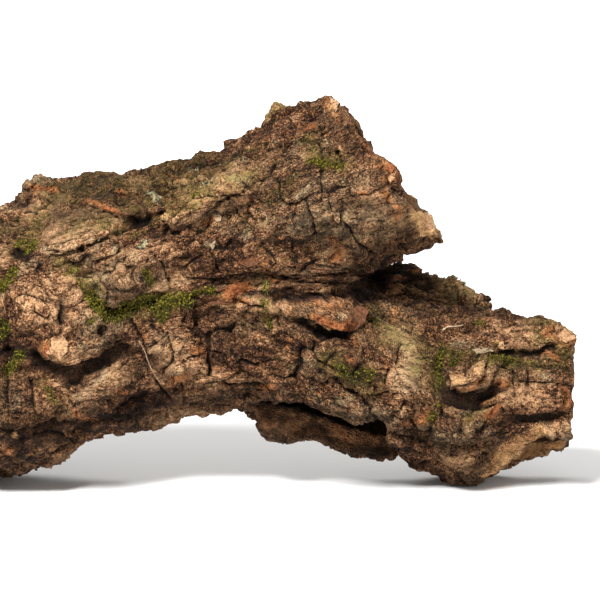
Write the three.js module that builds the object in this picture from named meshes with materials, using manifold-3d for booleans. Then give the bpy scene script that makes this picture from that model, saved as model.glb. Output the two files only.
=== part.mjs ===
// A forked tube of cork bark, peeled off an oak branch in one piece and left hollow.
// Millimetres, +Z up, the front along -Y, the thick end at -X and the two forks towards +X.
import * as THREE from "three";
import { mergeVertices } from "three/addons/utils/BufferGeometryUtils.js";
import Module from "manifold-3d";

// The fork is drawn in a front plane that leans back by this angle: a point's height in it
// is its height above the ground, plus what its depth adds.
const leanAngle = THREE.MathUtils.degToRad(10);
const leanSin = Math.sin(leanAngle);
const leanCos = Math.cos(leanAngle);

// Centre line stations: along, depth, height in the front plane, radius up, radius in depth.
const trunkStations = [
  [-204, 0, 52, 58, 60],
  [-150, 0, 57, 57, 59],
  [-117, -1, 61, 55, 57],
  [-95, -2, 65.5, 53.5, 54],
  [-73, -3, 70, 49.5, 51],
  [-51, -4, 74, 46, 49],
  [-29, -5, 81, 43, 47],
  [-7, -6, 82, 44, 46],
  [14, -7, 80, 43, 45],
  [37, -8, 75, 43, 45],
  [64, -8, 65, 45, 46],
  [92, -7, 56, 45, 46],
  [119, -5, 47, 46.5, 45],
  [136, -4, 46, 48, 45],
  [150, -4, 51, 44, 43],
  [169, -4, 52.5, 41, 41],
  [188, -4, 49.5, 37, 38],
  [204, -4, 48, 36, 37],
];
const branchStations = [
  [-204, 0, 93, 54, 57],
  [-128, 0, 101, 51, 55],
  [-100, -1, 109, 53, 53],
  [-73, -2, 118, 48, 51],
  [-29, -4, 130, 42, 48],
  [4, -6, 142, 43, 46],
  [37, -9, 156, 45, 47],
  [64, -11, 163, 47, 48],
  [84, -13, 172, 49, 49],
  [112, -16, 183, 49, 49],
];
// The web of bark between the two, where they grow apart.
const webStations = [
  [-204, 0, 73, 34, 57],
  [-128, 0, 81, 36, 52],
  [-73, -2, 95, 38, 48],
  [-29, -4, 106, 40, 48],
  [4, -6, 113, 43, 47],
  [32, -8, 118, 45, 47],
  [50, -9, 115, 39, 45],
  [59, -9, 109, 25, 38],
  [67, -9, 108, 16, 24],
  [73, -9, 107, 8, 9],
];
// A knuckle of bark along the back of the lower fork.
const knuckleStations = [
  [48, 16, 102, 15, 17],
  [80, 20, 104, 18, 17],
  [104, 24, 99, 15.5, 16],
  [126, 26, 94, 17, 15],
  [140, 27, 90, 15, 14],
];

const trunkWall = [15, 11]; // Bark thickness at the thick end and at the lower fork's end
const branchWall = [15, 11];
const webWall = 14;
const leastHollow = 6; // Radius at which the web's hollow ends
const hollowOvershoot = 14; // The hollows run on past both ends

// Split along the underside of the lower fork: along, angle of its front edge, angle of its
// back edge, slant of the front edge's face (0 points at the middle of the tube, 1 shows the
// face to the front). Angles turn from the front, down and to the back.
const splitStations = [
  [11, 48, 66, 0],
  [16, 44, 67, 0],
  [28, 35, 68, 0],
  [50, 33, 72, 0],
  [64, 31, 76, 0],
  [79, 21, 80, 0],
  [85, 48, 82, 0],
  [91, 66, 86, 0],
  [100, 78, 98, 0],
  [112, 92, 112, 0],
  [128, 98, 118, 0],
  [144, 90, 110, 0],
  [150, 76, 104, 0.5],
  [156, 52, 98, 1],
  [164, 32, 90, 1],
  [175, 20, 84, 1],
  [215, 16, 82, 1],
];
const splitReach = 95; // From the middle of the tube to well outside it
const splitCore = [3, 26.7]; // Where the wedge starts, without a slant and with the full one
const slantTurns = [-26, 48]; // Degrees that the full slant turns the face's outer and inner line
const splitCells = [36, 3]; // Along and across
const splitTears = [[17, 6], [9, 3]]; // Waves of the torn edges: length in mm, swing in degrees

// The back lip of the split hangs lower than the bark before it: along, extra radius.
const lipStations = [
  [-300, 0],
  [9, 0],
  [15, 14],
  [26, 13],
  [37, 11],
  [48, 8],
  [70, 7],
  [81, 5.5],
  [96, 2],
  [106, 0],
  [150, 0],
  [162, 3],
  [300, 3],
];
const lipAngles = { start: 46, full: 62, fade: 120, end: 165 };
const lipRagged = 9; // The lip's steps wander this far along the bark, on this many degrees
const lipWander = 22;
const lipInside = 0.4; // Share of the lip that the hollow follows: the bark is thicker there

// Each end is a rough break. Its tabs are tongues and notches in it: depth and height from
// its middle, how far they stand out, their reach.
const breakThickness = 60;
const breakWaves = [[22, 1], [9, 0.6]]; // Length in mm, share of the end's roughness
const ends = {
  left: { x: -189, height: 80, size: 280, cells: 34, rough: 2.4, tabs: [[-20, 70, 5, 12], [40, -30, 4, 14]] },
  right: { x: 184, height: 55, lean: 3, rise: -1, size: 150, cells: 20, rough: 2.6, tabs: [[-10, 28, 3, 9]] },
  branch: {
    x: 83, depth: -12, height: 172, lean: -3, rise: 38, size: 136, cells: 20, rough: 2.4,
    tabs: [[-43, 3, 6, 8], [-40, 16, -4, 6], [-41, -15, -4, 7], [-22, -38, -3, 8], [36, 28, 3, 12]],
  },
};
const restHeight = 0; // The ground cuts small flats at this height

// Relief of the bark
const lumpSize = 34;
const lumpHeight = 4;
const furrowSpacing = 24;
const furrowStretch = 1.6; // Furrows run along the bark, this much longer than wide
const furrowWidth = 0.2; // Share of the spacing
const furrowDepth = 5.6;
const wanderSize = 30; // Furrows wander sideways on this length
const wanderShare = 0.7;
// No furrow cuts deeper than this at the thick end and at the forks' ends: it leaves at least
// 3 mm of bark.
const deepest = [12, 7.5];
const crumbSize = 13;
const crumbHeight = 2;
const frontCalm = 0.1; // Where the marks below shape the front, this much of the rest is left out
const innerWave = 1.2;
const innerWaveLength = 40;
const innerWaveWidth = 12;

// Marks of the front, in the front plane: height, reach, then the points that they follow.
const frontMarks = [
  // The furrow between the two forks
  { height: -5, reach: 6, path: [[-96, 105], [-78, 101], [-57, 98], [-35, 100], [-18, 104], [8, 105]] },
  { height: -6, reach: 6, path: [[8, 105], [36, 103], [62, 105], [78, 110]] },
  // The dark hollow of the lower half, and its run to the thick end
  { height: -9, reach: 7, path: [[-130, 54], [-112, 60], [-95, 59], [-80, 62], [-63, 67], [-50, 63]] },
  { height: -4, reach: 6, path: [[-128, 110], [-127, 96], [-124, 80], [-120, 62]] },
  // The long lump under it, and the furrow below that
  { height: 5, reach: 10, path: [[-88, 41], [-74, 48], [-56, 58]] },
  { height: -5, reach: 6, path: [[-124, 27], [-104, 32], [-84, 33], [-66, 36], [-48, 46]] },
  // Rounded lump above the hollow
  { height: 4, reach: 12, path: [[-66, 106], [-54, 108]] },
  // Bulge of layered bark near the top of the thick half
  { height: 4, reach: 14, path: [[-104, 140], [-86, 142], [-68, 150]] },
  { height: -6, reach: 6, path: [[-60, 143], [-50, 141], [-38, 150]] },
  { height: -5, reach: 5, path: [[-122, 128], [-112, 130], [-101, 138]] },
  { height: 4, reach: 9, path: [[-72, 128], [-52, 118], [-36, 126]] },
  // Long ridge that climbs into the upper fork
  { height: 4, reach: 8, path: [[-34, 140], [-14, 152], [12, 166], [34, 182]] },
  { height: -4, reach: 6, path: [[-40, 130], [-18, 141], [2, 150], [24, 158]] },
  { height: -5, reach: 6, path: [[40, 178], [52, 166], [66, 158]] },
  { height: 4, reach: 10, path: [[48, 150], [68, 160], [88, 168]] },
  // Ledges of the lower fork where it leaves the upper one
  { height: -6, reach: 6, path: [[48, 84], [62, 80], [74, 82]] },
  { height: 4, reach: 9, path: [[44, 92], [62, 88]] },
  { height: 3, reach: 8, path: [[-4, 100], [10, 104]] },
  { height: -5, reach: 5, path: [[20, 76], [34, 68], [38, 54]] },
  // Two grooves round the lower fork, the curl and the hollow under the curl
  { height: -4, reach: 5, path: [[92, 77], [88, 64], [82, 48]] },
  { height: -5, reach: 6, path: [[113, 76], [109, 60], [103, 40], [100, 26]] },
  { height: 6, reach: 8, path: [[122, 58], [132, 60], [141, 70]] },
  { height: -7, reach: 6, path: [[118, 50], [134, 46], [146, 54]] },
  { height: -5, reach: 5, path: [[142, 73], [156, 72], [170, 73]] },
  { height: -6, reach: 5, path: [[136, 33], [152, 33], [172, 36]] },
  // Scar of a flake that has come off the lower edge
  { height: -3.5, reach: 6, path: [[139, 4], [152, 16], [171, 27]] },
  // Cracks that cross the bark
  { height: -5, reach: 6, path: [[-14, 88], [-12, 74], [-13, 60]] },
  { height: -5, reach: 6, path: [[-58, 88], [-52, 75], [-42, 60], [-34, 44]] },
];
// Knobs that break the outline: along, height in the front plane, depth, height, reach
const knobs = [
  [18, 202, -4, 8, 8],
  [-78, 170, -4, 3, 9],
  [-104, 164, -6, 6, 12],
  [-38, 176, 2, 2, 8],
  [48, 211, -6, 2, 14],
];

// Faces round each tube, and rings along it
const outerFaces = { trunk: [40, 58], branch: [38, 42], web: [24, 34], knuckle: [18, 16] };
const innerFaces = { trunk: [20, 28], branch: [20, 18], web: [16, 12] };

// Value noise from -1 to 1: the same on every run.
function lattice(x, y, z) {
  let n = Math.imul(x, 374761393) + Math.imul(y, 668265263) + Math.imul(z, 1274126177);
  n = Math.imul(n ^ (n >>> 13), 1103515245);
  return ((n ^ (n >>> 16)) >>> 0) / 2147483648 - 1;
}
function noise(x, y, z) {
  const base = [Math.floor(x), Math.floor(y), Math.floor(z)];
  const blend = [x, y, z].map((value, axis) => {
    const part = value - base[axis];
    return part * part * (3 - 2 * part);
  });
  let sum = 0;
  for (let corner = 0; corner < 8; corner++) {
    const step = [corner & 1, (corner >> 1) & 1, corner >> 2];
    const weights = step.map((on, axis) => (on ? blend[axis] : 1 - blend[axis]));
    const value = lattice(base[0] + step[0], base[1] + step[1], base[2] + step[2]);
    sum += weights[0] * weights[1] * weights[2] * value;
  }
  return sum;
}

function heightInFront(point) {
  return point.z * leanCos + point.y * leanSin;
}
function heightAboveGround(frontHeight, depth) {
  return (frontHeight - depth * leanSin) / leanCos;
}

// Rows of [key, value, value...] read at any key, along straight lines between the rows.
function readStations(rows, key) {
  const last = rows[rows.length - 1];
  if (key >= last[0]) return last.slice(1);
  const next = Math.max(1, rows.findIndex((row) => row[0] > key));
  const [from, to] = [rows[next - 1], rows[next]];
  const share = THREE.MathUtils.clamp((key - from[0]) / (to[0] - from[0]), 0, 1);
  return from.slice(1).map((value, index) => THREE.MathUtils.lerp(value, to[index + 1], share));
}

function distanceToPath(x, y, path) {
  let nearest = Infinity;
  for (let index = 1; index < path.length; index++) {
    const [ax, ay] = path[index - 1];
    const [dx, dy] = [path[index][0] - ax, path[index][1] - ay];
    const along = ((x - ax) * dx + (y - ay) * dy) / (dx * dx + dy * dy);
    const share = THREE.MathUtils.clamp(along, 0, 1);
    nearest = Math.min(nearest, Math.hypot(x - ax - share * dx, y - ay - share * dy));
  }
  return nearest;
}

// A bell from 1 at no distance to nearly 0 at twice the reach.
function bell(distance, reach) {
  return Math.exp(-((distance / reach) ** 2));
}

function grownRelief({ x, y, z }, run) {
  const lumps = lumpHeight * noise(x / lumpSize + 7, y / lumpSize, z / lumpSize);
  const wander = wanderShare * noise(x / wanderSize, y / wanderSize, z / wanderSize + 9);
  const streak = noise(
    run / (furrowSpacing * furrowStretch) + wander,
    y / furrowSpacing + wander,
    z / furrowSpacing + 3,
  );
  const crumbs = crumbHeight * noise(x / crumbSize, y / crumbSize + 5, z / crumbSize);
  return lumps + crumbs - furrowDepth * bell(streak, furrowWidth);
}

// How far the bark stands out at a point whose outward direction is given.
function barkRelief(point, outward, run) {
  const height = heightInFront(point);
  const facing = THREE.MathUtils.smoothstep(-outward.y, -0.05, 0.35);
  let relief = grownRelief(point, run) * (1 - frontCalm * facing);
  for (const mark of facing > 0 ? frontMarks : []) {
    relief += facing * mark.height * bell(distanceToPath(point.x, height, mark.path), mark.reach);
  }
  for (const [x, frontHeight, depth, rise, reach] of knobs) {
    relief += rise * bell(Math.hypot(point.x - x, height - frontHeight, point.y - depth), reach);
  }
  const [start, end] = [trunkStations[0][0], trunkStations[trunkStations.length - 1][0]];
  const limit = THREE.MathUtils.mapLinear(point.x, start, end, ...deepest);
  return Math.max(relief, -limit);
}

function closedGeometry(geometry) {
  geometry.deleteAttribute("normal");
  geometry.deleteAttribute("uv");
  return mergeVertices(geometry, 1e-4);
}

// A closed tube, from a cylinder whose vertices are moved onto rings along the stations.
// radiusAt may change a ring's radius, and reliefAt moves each vertex outwards.
function tubeGeometry(stations, [sides, rings], { upright, radiusAt, reliefAt }) {
  const centres = stations.map(([x, depth, height]) =>
    new THREE.Vector3(x, depth, heightAboveGround(height, depth)));
  const radii = stations.map(([, , , up, across]) => new THREE.Vector3(up, across, 0));
  const centreCurve = new THREE.CatmullRomCurve3(centres, false, "catmullrom", 0.5);
  const radiusCurve = new THREE.CatmullRomCurve3(radii, false, "catmullrom", 0.5);
  const geometry = closedGeometry(new THREE.CylinderGeometry(1, 1, 1, sides, rings));
  const position = geometry.getAttribute("position");
  const vertex = new THREE.Vector3();
  for (let index = 0; index < position.count; index++) {
    vertex.fromBufferAttribute(position, index);
    const share = centreCurve.getUtoTmapping(THREE.MathUtils.clamp(vertex.y + 0.5, 0, 1));
    const centre = centreCurve.getPoint(share);
    const radius = radiusCurve.getPoint(share);
    const along = upright ? new THREE.Vector3(1, 0, 0) : centreCurve.getTangent(share);
    const depthAxis = new THREE.Vector3(0, 1, 0).addScaledVector(along, -along.y).normalize();
    const upAxis = new THREE.Vector3().crossVectors(along, depthAxis);
    const angle = Math.atan2(vertex.x, vertex.z);
    const reach = Math.hypot(vertex.x, vertex.z);
    const [across, up] = [-Math.cos(angle), -Math.sin(angle)];
    const extra = radiusAt ? radiusAt(centre.x, angle) : 0;
    const point = centre.clone()
      .addScaledVector(depthAxis, across * (radius.y + extra) * reach)
      .addScaledVector(upAxis, up * (radius.x + extra) * reach);
    const outward = depthAxis.multiplyScalar(across / radius.y).addScaledVector(upAxis, up / radius.x);
    outward.normalize();
    if (reliefAt && reach > 0.5) point.addScaledVector(outward, reliefAt(point, outward));
    position.setXYZ(index, point.x, point.y, point.z);
  }
  return geometry;
}

// Moves a station list inwards by a wall that changes evenly from its start to its end.
function insideStations(stations, [wallStart, wallEnd]) {
  const last = stations.length - 1;
  return stations.map(([x, depth, height, up, across], index) => {
    const wall = THREE.MathUtils.lerp(wallStart, wallEnd, index / last);
    const beyond = index === 0 ? -hollowOvershoot : index === last ? hollowOvershoot : 0;
    return [x + beyond, depth, height, up - wall, across - wall];
  });
}

// The web's hollow stops short of the fork, so that the bark there stays whole.
function insideWeb() {
  return webStations.slice(0, -2).map(([x, depth, height, up, across], index) => {
    const beyond = index === 0 ? -hollowOvershoot : 0;
    return [x + beyond, depth, height, up, Math.max(leastHollow, across - webWall)];
  });
}

function lipAt(x, angle) {
  const { start, full, fade, end } = lipAngles;
  const turned = angle < -Math.PI / 2 ? angle + 2 * Math.PI : angle;
  const degrees = THREE.MathUtils.radToDeg(turned);
  const grown = THREE.MathUtils.smoothstep(degrees, start, full);
  const left = 1 - THREE.MathUtils.smoothstep(degrees, fade, end);
  const ragged = lipRagged * noise(degrees / lipWander, 0, 5);
  return readStations(lipStations, x + ragged)[0] * grown * left;
}
function innerLipAt(x, angle) {
  return lipInside * lipAt(x, angle);
}

function trunkRelief(point, outward) {
  return barkRelief(point, outward, point.x);
}
function branchRelief(point, outward) {
  return barkRelief(point, outward, point.x * 0.9 + point.z * 0.4);
}
function innerRelief(point) {
  return innerWave * noise(point.x / innerWaveLength, point.y / innerWaveWidth, point.z / innerWaveWidth);
}

function outerTubes() {
  const trunkShape = { upright: true, radiusAt: lipAt, reliefAt: trunkRelief };
  return [
    tubeGeometry(trunkStations, outerFaces.trunk, trunkShape),
    tubeGeometry(branchStations, outerFaces.branch, { reliefAt: branchRelief }),
    tubeGeometry(webStations, outerFaces.web, { upright: true, reliefAt: trunkRelief }),
    tubeGeometry(knuckleStations, outerFaces.knuckle, { reliefAt: trunkRelief }),
  ];
}
function innerTubes() {
  const trunkShape = { upright: true, radiusAt: innerLipAt, reliefAt: innerRelief };
  return [
    tubeGeometry(insideStations(trunkStations, trunkWall), innerFaces.trunk, trunkShape),
    tubeGeometry(insideStations(branchStations, branchWall), innerFaces.branch, { reliefAt: innerRelief }),
    tubeGeometry(insideWeb(), innerFaces.web, { upright: true }),
  ];
}

// A block whose one face is a rough break, to cut a torn end. Its face looks along -X
// until it is turned.
function breakGeometry({ size, cells, rough, tabs }, seed) {
  const block = new THREE.BoxGeometry(breakThickness, size, size, 1, cells, cells);
  const geometry = closedGeometry(block);
  const position = geometry.getAttribute("position");
  for (let index = 0; index < position.count; index++) {
    if (position.getX(index) > 0) continue;
    const [y, z] = [position.getY(index), position.getZ(index)];
    let out = 0;
    for (const [length, share] of breakWaves) out += rough * share * noise(y / length, z / length, seed);
    for (const [depth, up, rise, reach] of tabs) out += rise * bell(Math.hypot(y - depth, z - up), reach);
    position.setX(index, position.getX(index) + out);
  }
  return geometry.translate(breakThickness / 2, 0, 0);
}

// A long wedge from the tube's middle outwards, between the split's two edges.
function splitGeometry() {
  const geometry = closedGeometry(new THREE.BoxGeometry(1, 1, 1, ...splitCells, 1));
  const position = geometry.getAttribute("position");
  const centres = trunkStations.map(([x, depth, height]) => [x, depth, heightAboveGround(height, depth)]);
  const [start, end] = [splitStations[0][0], splitStations[splitStations.length - 1][0]];
  for (let index = 0; index < position.count; index++) {
    const x = THREE.MathUtils.lerp(start, end, position.getX(index) + 0.5);
    const [depth, height] = readStations(centres, x);
    const [front, back, slant] = readStations(splitStations, x);
    const side = position.getY(index) + 0.5;
    const inner = position.getZ(index) > 0;
    const turn = slant * slantTurns[inner ? 1 : 0];
    let degrees = THREE.MathUtils.lerp(front + turn, back, side);
    for (const [length, swing] of splitTears) degrees += swing * noise(x / length, side * 9, length);
    const angle = THREE.MathUtils.degToRad(degrees);
    const radius = inner ? THREE.MathUtils.lerp(...splitCore, slant) : splitReach;
    position.setXYZ(index, x, depth - Math.cos(angle) * radius, height - Math.sin(angle) * radius);
  }
  return geometry;
}

const wasm = await Module();
wasm.setup();

// A manifold-3d solid of a closed geometry, with its faces turned outwards.
function solid(geometry) {
  const vertProperties = new Float32Array(geometry.getAttribute("position").array);
  const triVerts = new Uint32Array(geometry.getIndex().array);
  const made = new wasm.Manifold(new wasm.Mesh({ numProp: 3, vertProperties, triVerts }));
  if (made.volume() > 0) return made;
  for (let index = 0; index < triVerts.length; index += 3) {
    [triVerts[index + 1], triVerts[index + 2]] = [triVerts[index + 2], triVerts[index + 1]];
  }
  return new wasm.Manifold(new wasm.Mesh({ numProp: 3, vertProperties, triVerts }));
}

function joined(geometries) {
  return geometries.map(solid).reduce((sum, next) => sum.add(next));
}

function endCutters() {
  const { left, right, branch } = ends;
  const leftCut = breakGeometry(left, 1);
  leftCut.rotateZ(Math.PI).translate(left.x, 0, left.height);
  const rightCut = breakGeometry(right, 2);
  rightCut.rotateZ(THREE.MathUtils.degToRad(-right.lean));
  rightCut.rotateY(THREE.MathUtils.degToRad(-right.rise)).translate(right.x, 0, right.height);
  const branchCut = breakGeometry(branch, 3);
  branchCut.rotateZ(THREE.MathUtils.degToRad(-branch.lean));
  branchCut.rotateY(THREE.MathUtils.degToRad(-branch.rise));
  branchCut.translate(branch.x, branch.depth, heightAboveGround(branch.height, branch.depth));
  const ground = closedGeometry(new THREE.BoxGeometry(600, 300, 60));
  ground.translate(0, 0, restHeight - 30);
  return [leftCut, rightCut, branchCut, ground];
}

function barkTube() {
  let bark = joined(outerTubes()).subtract(joined(innerTubes()));
  bark = bark.subtract(solid(splitGeometry()));
  for (const cutter of endCutters()) bark = bark.subtract(solid(cutter));
  const largest = bark.decompose().sort((a, b) => b.volume() - a.volume())[0];
  const { vertProperties, triVerts, numProp } = largest.getMesh();
  const geometry = new THREE.BufferGeometry()
    .setAttribute("position", new THREE.BufferAttribute(new Float32Array(vertProperties), numProp))
    .setIndex(new THREE.BufferAttribute(new Uint32Array(triVerts), 1));
  geometry.computeBoundingBox();
  geometry.computeVertexNormals();
  return geometry;
}

const cork = new THREE.MeshStandardMaterial({ color: 0x6d5340, roughness: 0.95, metalness: 0 });
const tube = new THREE.Mesh(barkTube(), cork);
tube.name = "cork_bark_tube";
// The origin is on the ground, under the middle of the tube's box.
const middle = tube.geometry.boundingBox.getCenter(new THREE.Vector3());
tube.position.set(-middle.x, -middle.y, -tube.geometry.boundingBox.min.z);

const part = new THREE.Group();
part.add(tube);
export default part;
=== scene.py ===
# A forked tube of cork bark: its plates, cracks, moss and litter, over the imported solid.
import functools
import itertools
import math
import random

import bmesh
import bpy
import numpy as np
from mathutils import Matrix, Vector
from mathutils.bvhtree import BVHTree


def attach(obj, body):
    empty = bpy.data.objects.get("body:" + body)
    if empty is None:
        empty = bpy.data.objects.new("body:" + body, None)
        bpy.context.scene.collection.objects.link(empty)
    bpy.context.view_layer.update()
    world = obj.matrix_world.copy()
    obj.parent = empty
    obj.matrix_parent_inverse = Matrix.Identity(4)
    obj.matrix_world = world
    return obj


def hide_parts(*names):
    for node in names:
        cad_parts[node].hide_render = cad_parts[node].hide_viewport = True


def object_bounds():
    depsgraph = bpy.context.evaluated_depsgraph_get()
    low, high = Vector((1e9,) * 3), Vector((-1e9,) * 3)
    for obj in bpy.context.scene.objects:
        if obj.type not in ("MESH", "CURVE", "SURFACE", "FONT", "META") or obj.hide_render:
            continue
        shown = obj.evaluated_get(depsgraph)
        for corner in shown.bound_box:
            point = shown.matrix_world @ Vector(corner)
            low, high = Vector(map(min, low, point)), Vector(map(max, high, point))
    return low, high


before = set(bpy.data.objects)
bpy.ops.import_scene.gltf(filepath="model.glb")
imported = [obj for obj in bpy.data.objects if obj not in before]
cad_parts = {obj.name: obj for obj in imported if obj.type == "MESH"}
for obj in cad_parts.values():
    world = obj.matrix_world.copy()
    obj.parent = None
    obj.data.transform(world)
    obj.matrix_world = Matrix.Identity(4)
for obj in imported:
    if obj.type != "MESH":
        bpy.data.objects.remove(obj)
cadLow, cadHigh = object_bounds()
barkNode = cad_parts["cork_bark_tube"]

# The view in which the front was read. A place on the front is a pixel of a 600 x 600 frame.
view = {
    "framePixels": 600,
    "mmPerPixel": 0.55,
    "lens": 200,  # a long lens, so the bark shows almost without perspective
    "sensor": 36,
    "elevation": 10,  # degrees
    "farthest": 50,  # m that the camera sees
    "groundPixel": (233.5, 481.5),  # this pixel is x 0 on the ground in the drawing
    "drawingInFrame": (2.829, 2.276, 0),  # mm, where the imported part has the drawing's origin
}
lean = math.radians(view["elevation"])
rightward = np.array((1.0, 0.0, 0.0))
upward = np.array((0.0, math.sin(lean), math.cos(lean)))
backward = np.array((0.0, -math.cos(lean), math.sin(lean)))
pixelScale = view["lens"] / view["sensor"] * view["framePixels"]
middlePixel = view["framePixels"] / 2


def findAim():  # the point in the middle of the picture, in mm
    across = (middlePixel - view["groundPixel"][0]) * view["mmPerPixel"]
    rise = (view["groundPixel"][1] - middlePixel) * view["mmPerPixel"] / math.cos(lean)
    return np.array((across, 0.0, rise)) + np.array(view["drawingInFrame"])


aimPoint = findAim()
cameraPlace = aimPoint + backward * view["mmPerPixel"] * pixelScale


def smoothStep(low, high, value):
    share = np.clip((value - low) / (high - low), 0, 1)
    return share * share * (3 - 2 * share)


def bell(distance, reach):
    return np.exp(-((distance / reach) ** 2))


def chance(corner, seed):  # 0 to 1 for each whole-number corner, the same on every run
    word = 0xFFFFFFFF
    mixed = corner[:, 0] * 374761393 + corner[:, 1] * 668265263 + corner[:, 2] * 1274126177
    mixed = (mixed + seed * 974634777) & word
    mixed = ((mixed ^ (mixed >> 13)) * 1103515245) & word
    return ((mixed ^ (mixed >> 16)) & word) / word


def noise(points, size, seed=0):  # smooth value noise from -1 to 1, size in mm for each axis
    scaled = points / np.array(size)
    base = np.floor(scaled).astype(np.int64)
    part = scaled - base
    part = part * part * (3 - 2 * part)
    total = np.zeros(len(points))
    for corner in itertools.product((0, 1), repeat=3):
        weight = np.prod(np.where(corner, part, 1 - part), axis=1)
        total += weight * chance(base + np.array(corner), seed)
    return total * 2 - 1


def noiseVector(points, size, seed):
    return np.stack([noise(points, size, seed + axis) for axis in range(3)], 1)


# Cells round scattered centres: how near the border (0 on it), a number for each cell, and
# the way from the cell's centre.
def cells(points, size, seed):
    scaled = points / np.array(size)
    base = np.floor(scaled).astype(np.int64)
    first = np.full(len(points), 9.0)
    second = np.full(len(points), 9.0)
    own = np.zeros(len(points))
    offset = np.zeros_like(scaled)
    for step in itertools.product((-1, 0, 1), repeat=3):
        corner = base + np.array(step)
        spot = np.stack([chance(corner, seed + axis) for axis in range(3)], 1)
        gap = scaled - corner - 0.1 - 0.8 * spot
        distance = np.linalg.norm(gap, axis=1)
        closer = distance < first
        second = np.where(closer, first, np.minimum(second, distance))
        first = np.where(closer, distance, first)
        own = np.where(closer, chance(corner, seed + 3), own)
        offset = np.where(closer[:, None], gap, offset)
    return second - first, own, offset


def pixelsOf(points):  # where points in mm show in the picture
    apart = points - cameraPlace
    away = -(apart @ backward)
    across = middlePixel + apart @ rightward / away * pixelScale
    down = middlePixel - apart @ upward / away * pixelScale
    return np.stack((across, down), 1)


# The surface seen at a pixel, in metres. A pixel just past the edge gives the edge.
def castAt(tree, across, down):
    ray = rightward * (across - middlePixel) - upward * (down - middlePixel) - backward * pixelScale
    start, way = Vector(cameraPlace / 1000), Vector(ray).normalized()
    place, _, _, _ = tree.ray_cast(start, way)
    if place is None:
        place, _, _, _ = tree.find_nearest(start + way * ((aimPoint - cameraPlace) @ -backward) / 1000)
    return place


def pathOf(text):  # a text of "across,down" pairs in pixels, as pairs of numbers
    return [tuple(float(number) for number in pair.split(",")) for pair in text.split()]


def linked(name, data):  # a new object in the scene
    item = bpy.data.objects.new(name, data)
    bpy.context.scene.collection.objects.link(item)
    return item


def turnTo(item, place, way):  # puts a camera or a lamp at a place, looking one way
    item.location = place
    item.rotation_mode = "QUATERNION"
    item.rotation_quaternion = way.to_track_quat("-Z", "Y")


def makeCamera():
    camera = bpy.data.cameras.new("view")
    camera.lens = view["lens"]
    camera.sensor_width = view["sensor"]
    camera.clip_end = view["farthest"]
    holder = linked("view", camera)
    turnTo(holder, Vector(cameraPlace / 1000), Vector(-backward))
    bpy.context.scene.camera = holder


def showMesh(name, mesh, material):  # a finished piece, riding on the part
    piece = linked(name, mesh)
    mesh.materials.append(material)
    mesh.shade_smooth()
    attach(piece, "root")
    return piece


def meshOf(shape, name="working"):  # a new mesh of what was built
    mesh = bpy.data.meshes.new(name)
    shape.to_mesh(mesh)
    shape.free()
    return mesh


def settled(holder):  # a new mesh, as the object's modifiers or curve leave it
    mesh = bpy.data.meshes.new_from_object(holder.evaluated_get(bpy.context.evaluated_depsgraph_get()))
    bpy.data.objects.remove(holder)
    return mesh


def modified(mesh, kind, settings):  # a new mesh, as one modifier leaves this one
    holder = linked("working", mesh)
    modifier = holder.modifiers.new("working", kind)
    for name, value in settings.items():
        setattr(modifier, name, value)
    return settled(holder)


def storeAt(mesh, name, values, kind="FLOAT", field="value"):  # a value for each vertex
    layer = mesh.attributes.new(name, kind, "POINT")
    layer.data.foreach_set(field, values.astype(np.float32).ravel())


def arrayOf(items, field, width, kind=np.float32):
    values = np.empty(len(items) * width, kind)
    items.foreach_get(field, values)
    return values.reshape(-1, width).astype(np.int64 if kind is np.int32 else float)


def treeOf(mesh):
    shape = bmesh.new()
    shape.from_mesh(mesh)
    tree = BVHTree.FromBMesh(shape)
    shape.free()
    return tree


# Averages each vertex's values with its neighbours'. A push over 0 gives back what a plain
# average shrinks.
def blurred(values, edges, rounds, push=0.0):
    count = len(values)
    ends = np.concatenate((edges[:, 0], edges[:, 1]))
    others = np.concatenate((edges[:, 1], edges[:, 0]))
    degree = np.maximum(np.bincount(ends, minlength=count), 1)[:, None]
    flat = values.reshape(count, -1)
    for turn in range(rounds):
        columns = [np.bincount(ends, column[others], count) for column in flat.T]
        change = np.stack(columns, 1) / degree - flat
        flat = flat + change * 0.6
        if push and turn % 2:
            flat = flat - change * push
    return flat.reshape(values.shape)


# The limbs that the tube is made of, in drawing mm: x, depth and height of the middle (height
# in the leaning front plane), and the radius up and in depth.
limbs = {
    "trunk": [(-204, 0, 52, 58, 60), (-117, -1, 61, 55, 57), (-73, -3, 70, 49, 51), (-29, -5, 81, 43, 47),
              (14, -7, 80, 43, 45), (64, -8, 65, 45, 46), (119, -5, 47, 47, 45), (150, -4, 51, 44, 43),
              (204, -4, 48, 36, 37)],
    "branch": [(-204, 0, 93, 54, 57), (-100, -1, 109, 53, 53), (-29, -4, 130, 42, 48), (37, -9, 156, 45, 47),
               (112, -16, 183, 49, 49)],
    "web": [(-204, 0, 73, 34, 57), (-73, -2, 95, 38, 48), (32, -8, 118, 45, 47), (59, -9, 109, 25, 38),
            (73, -9, 107, 8, 9), (74, -9, 107, 1, 1)],
}
# Middle of each broken end and the way it faces
brokenEnds = {
    "left": ((-189, 0, 80), (-1, 0, 0)),
    "right": ((184, 0, 55), (1, 0, 0)),
    "branch": ((83, -12, 177), (0.79, 0, 0.62)),
}
middleHeight = 105  # between the limbs, where the upper one's own slope starts to count


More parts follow.
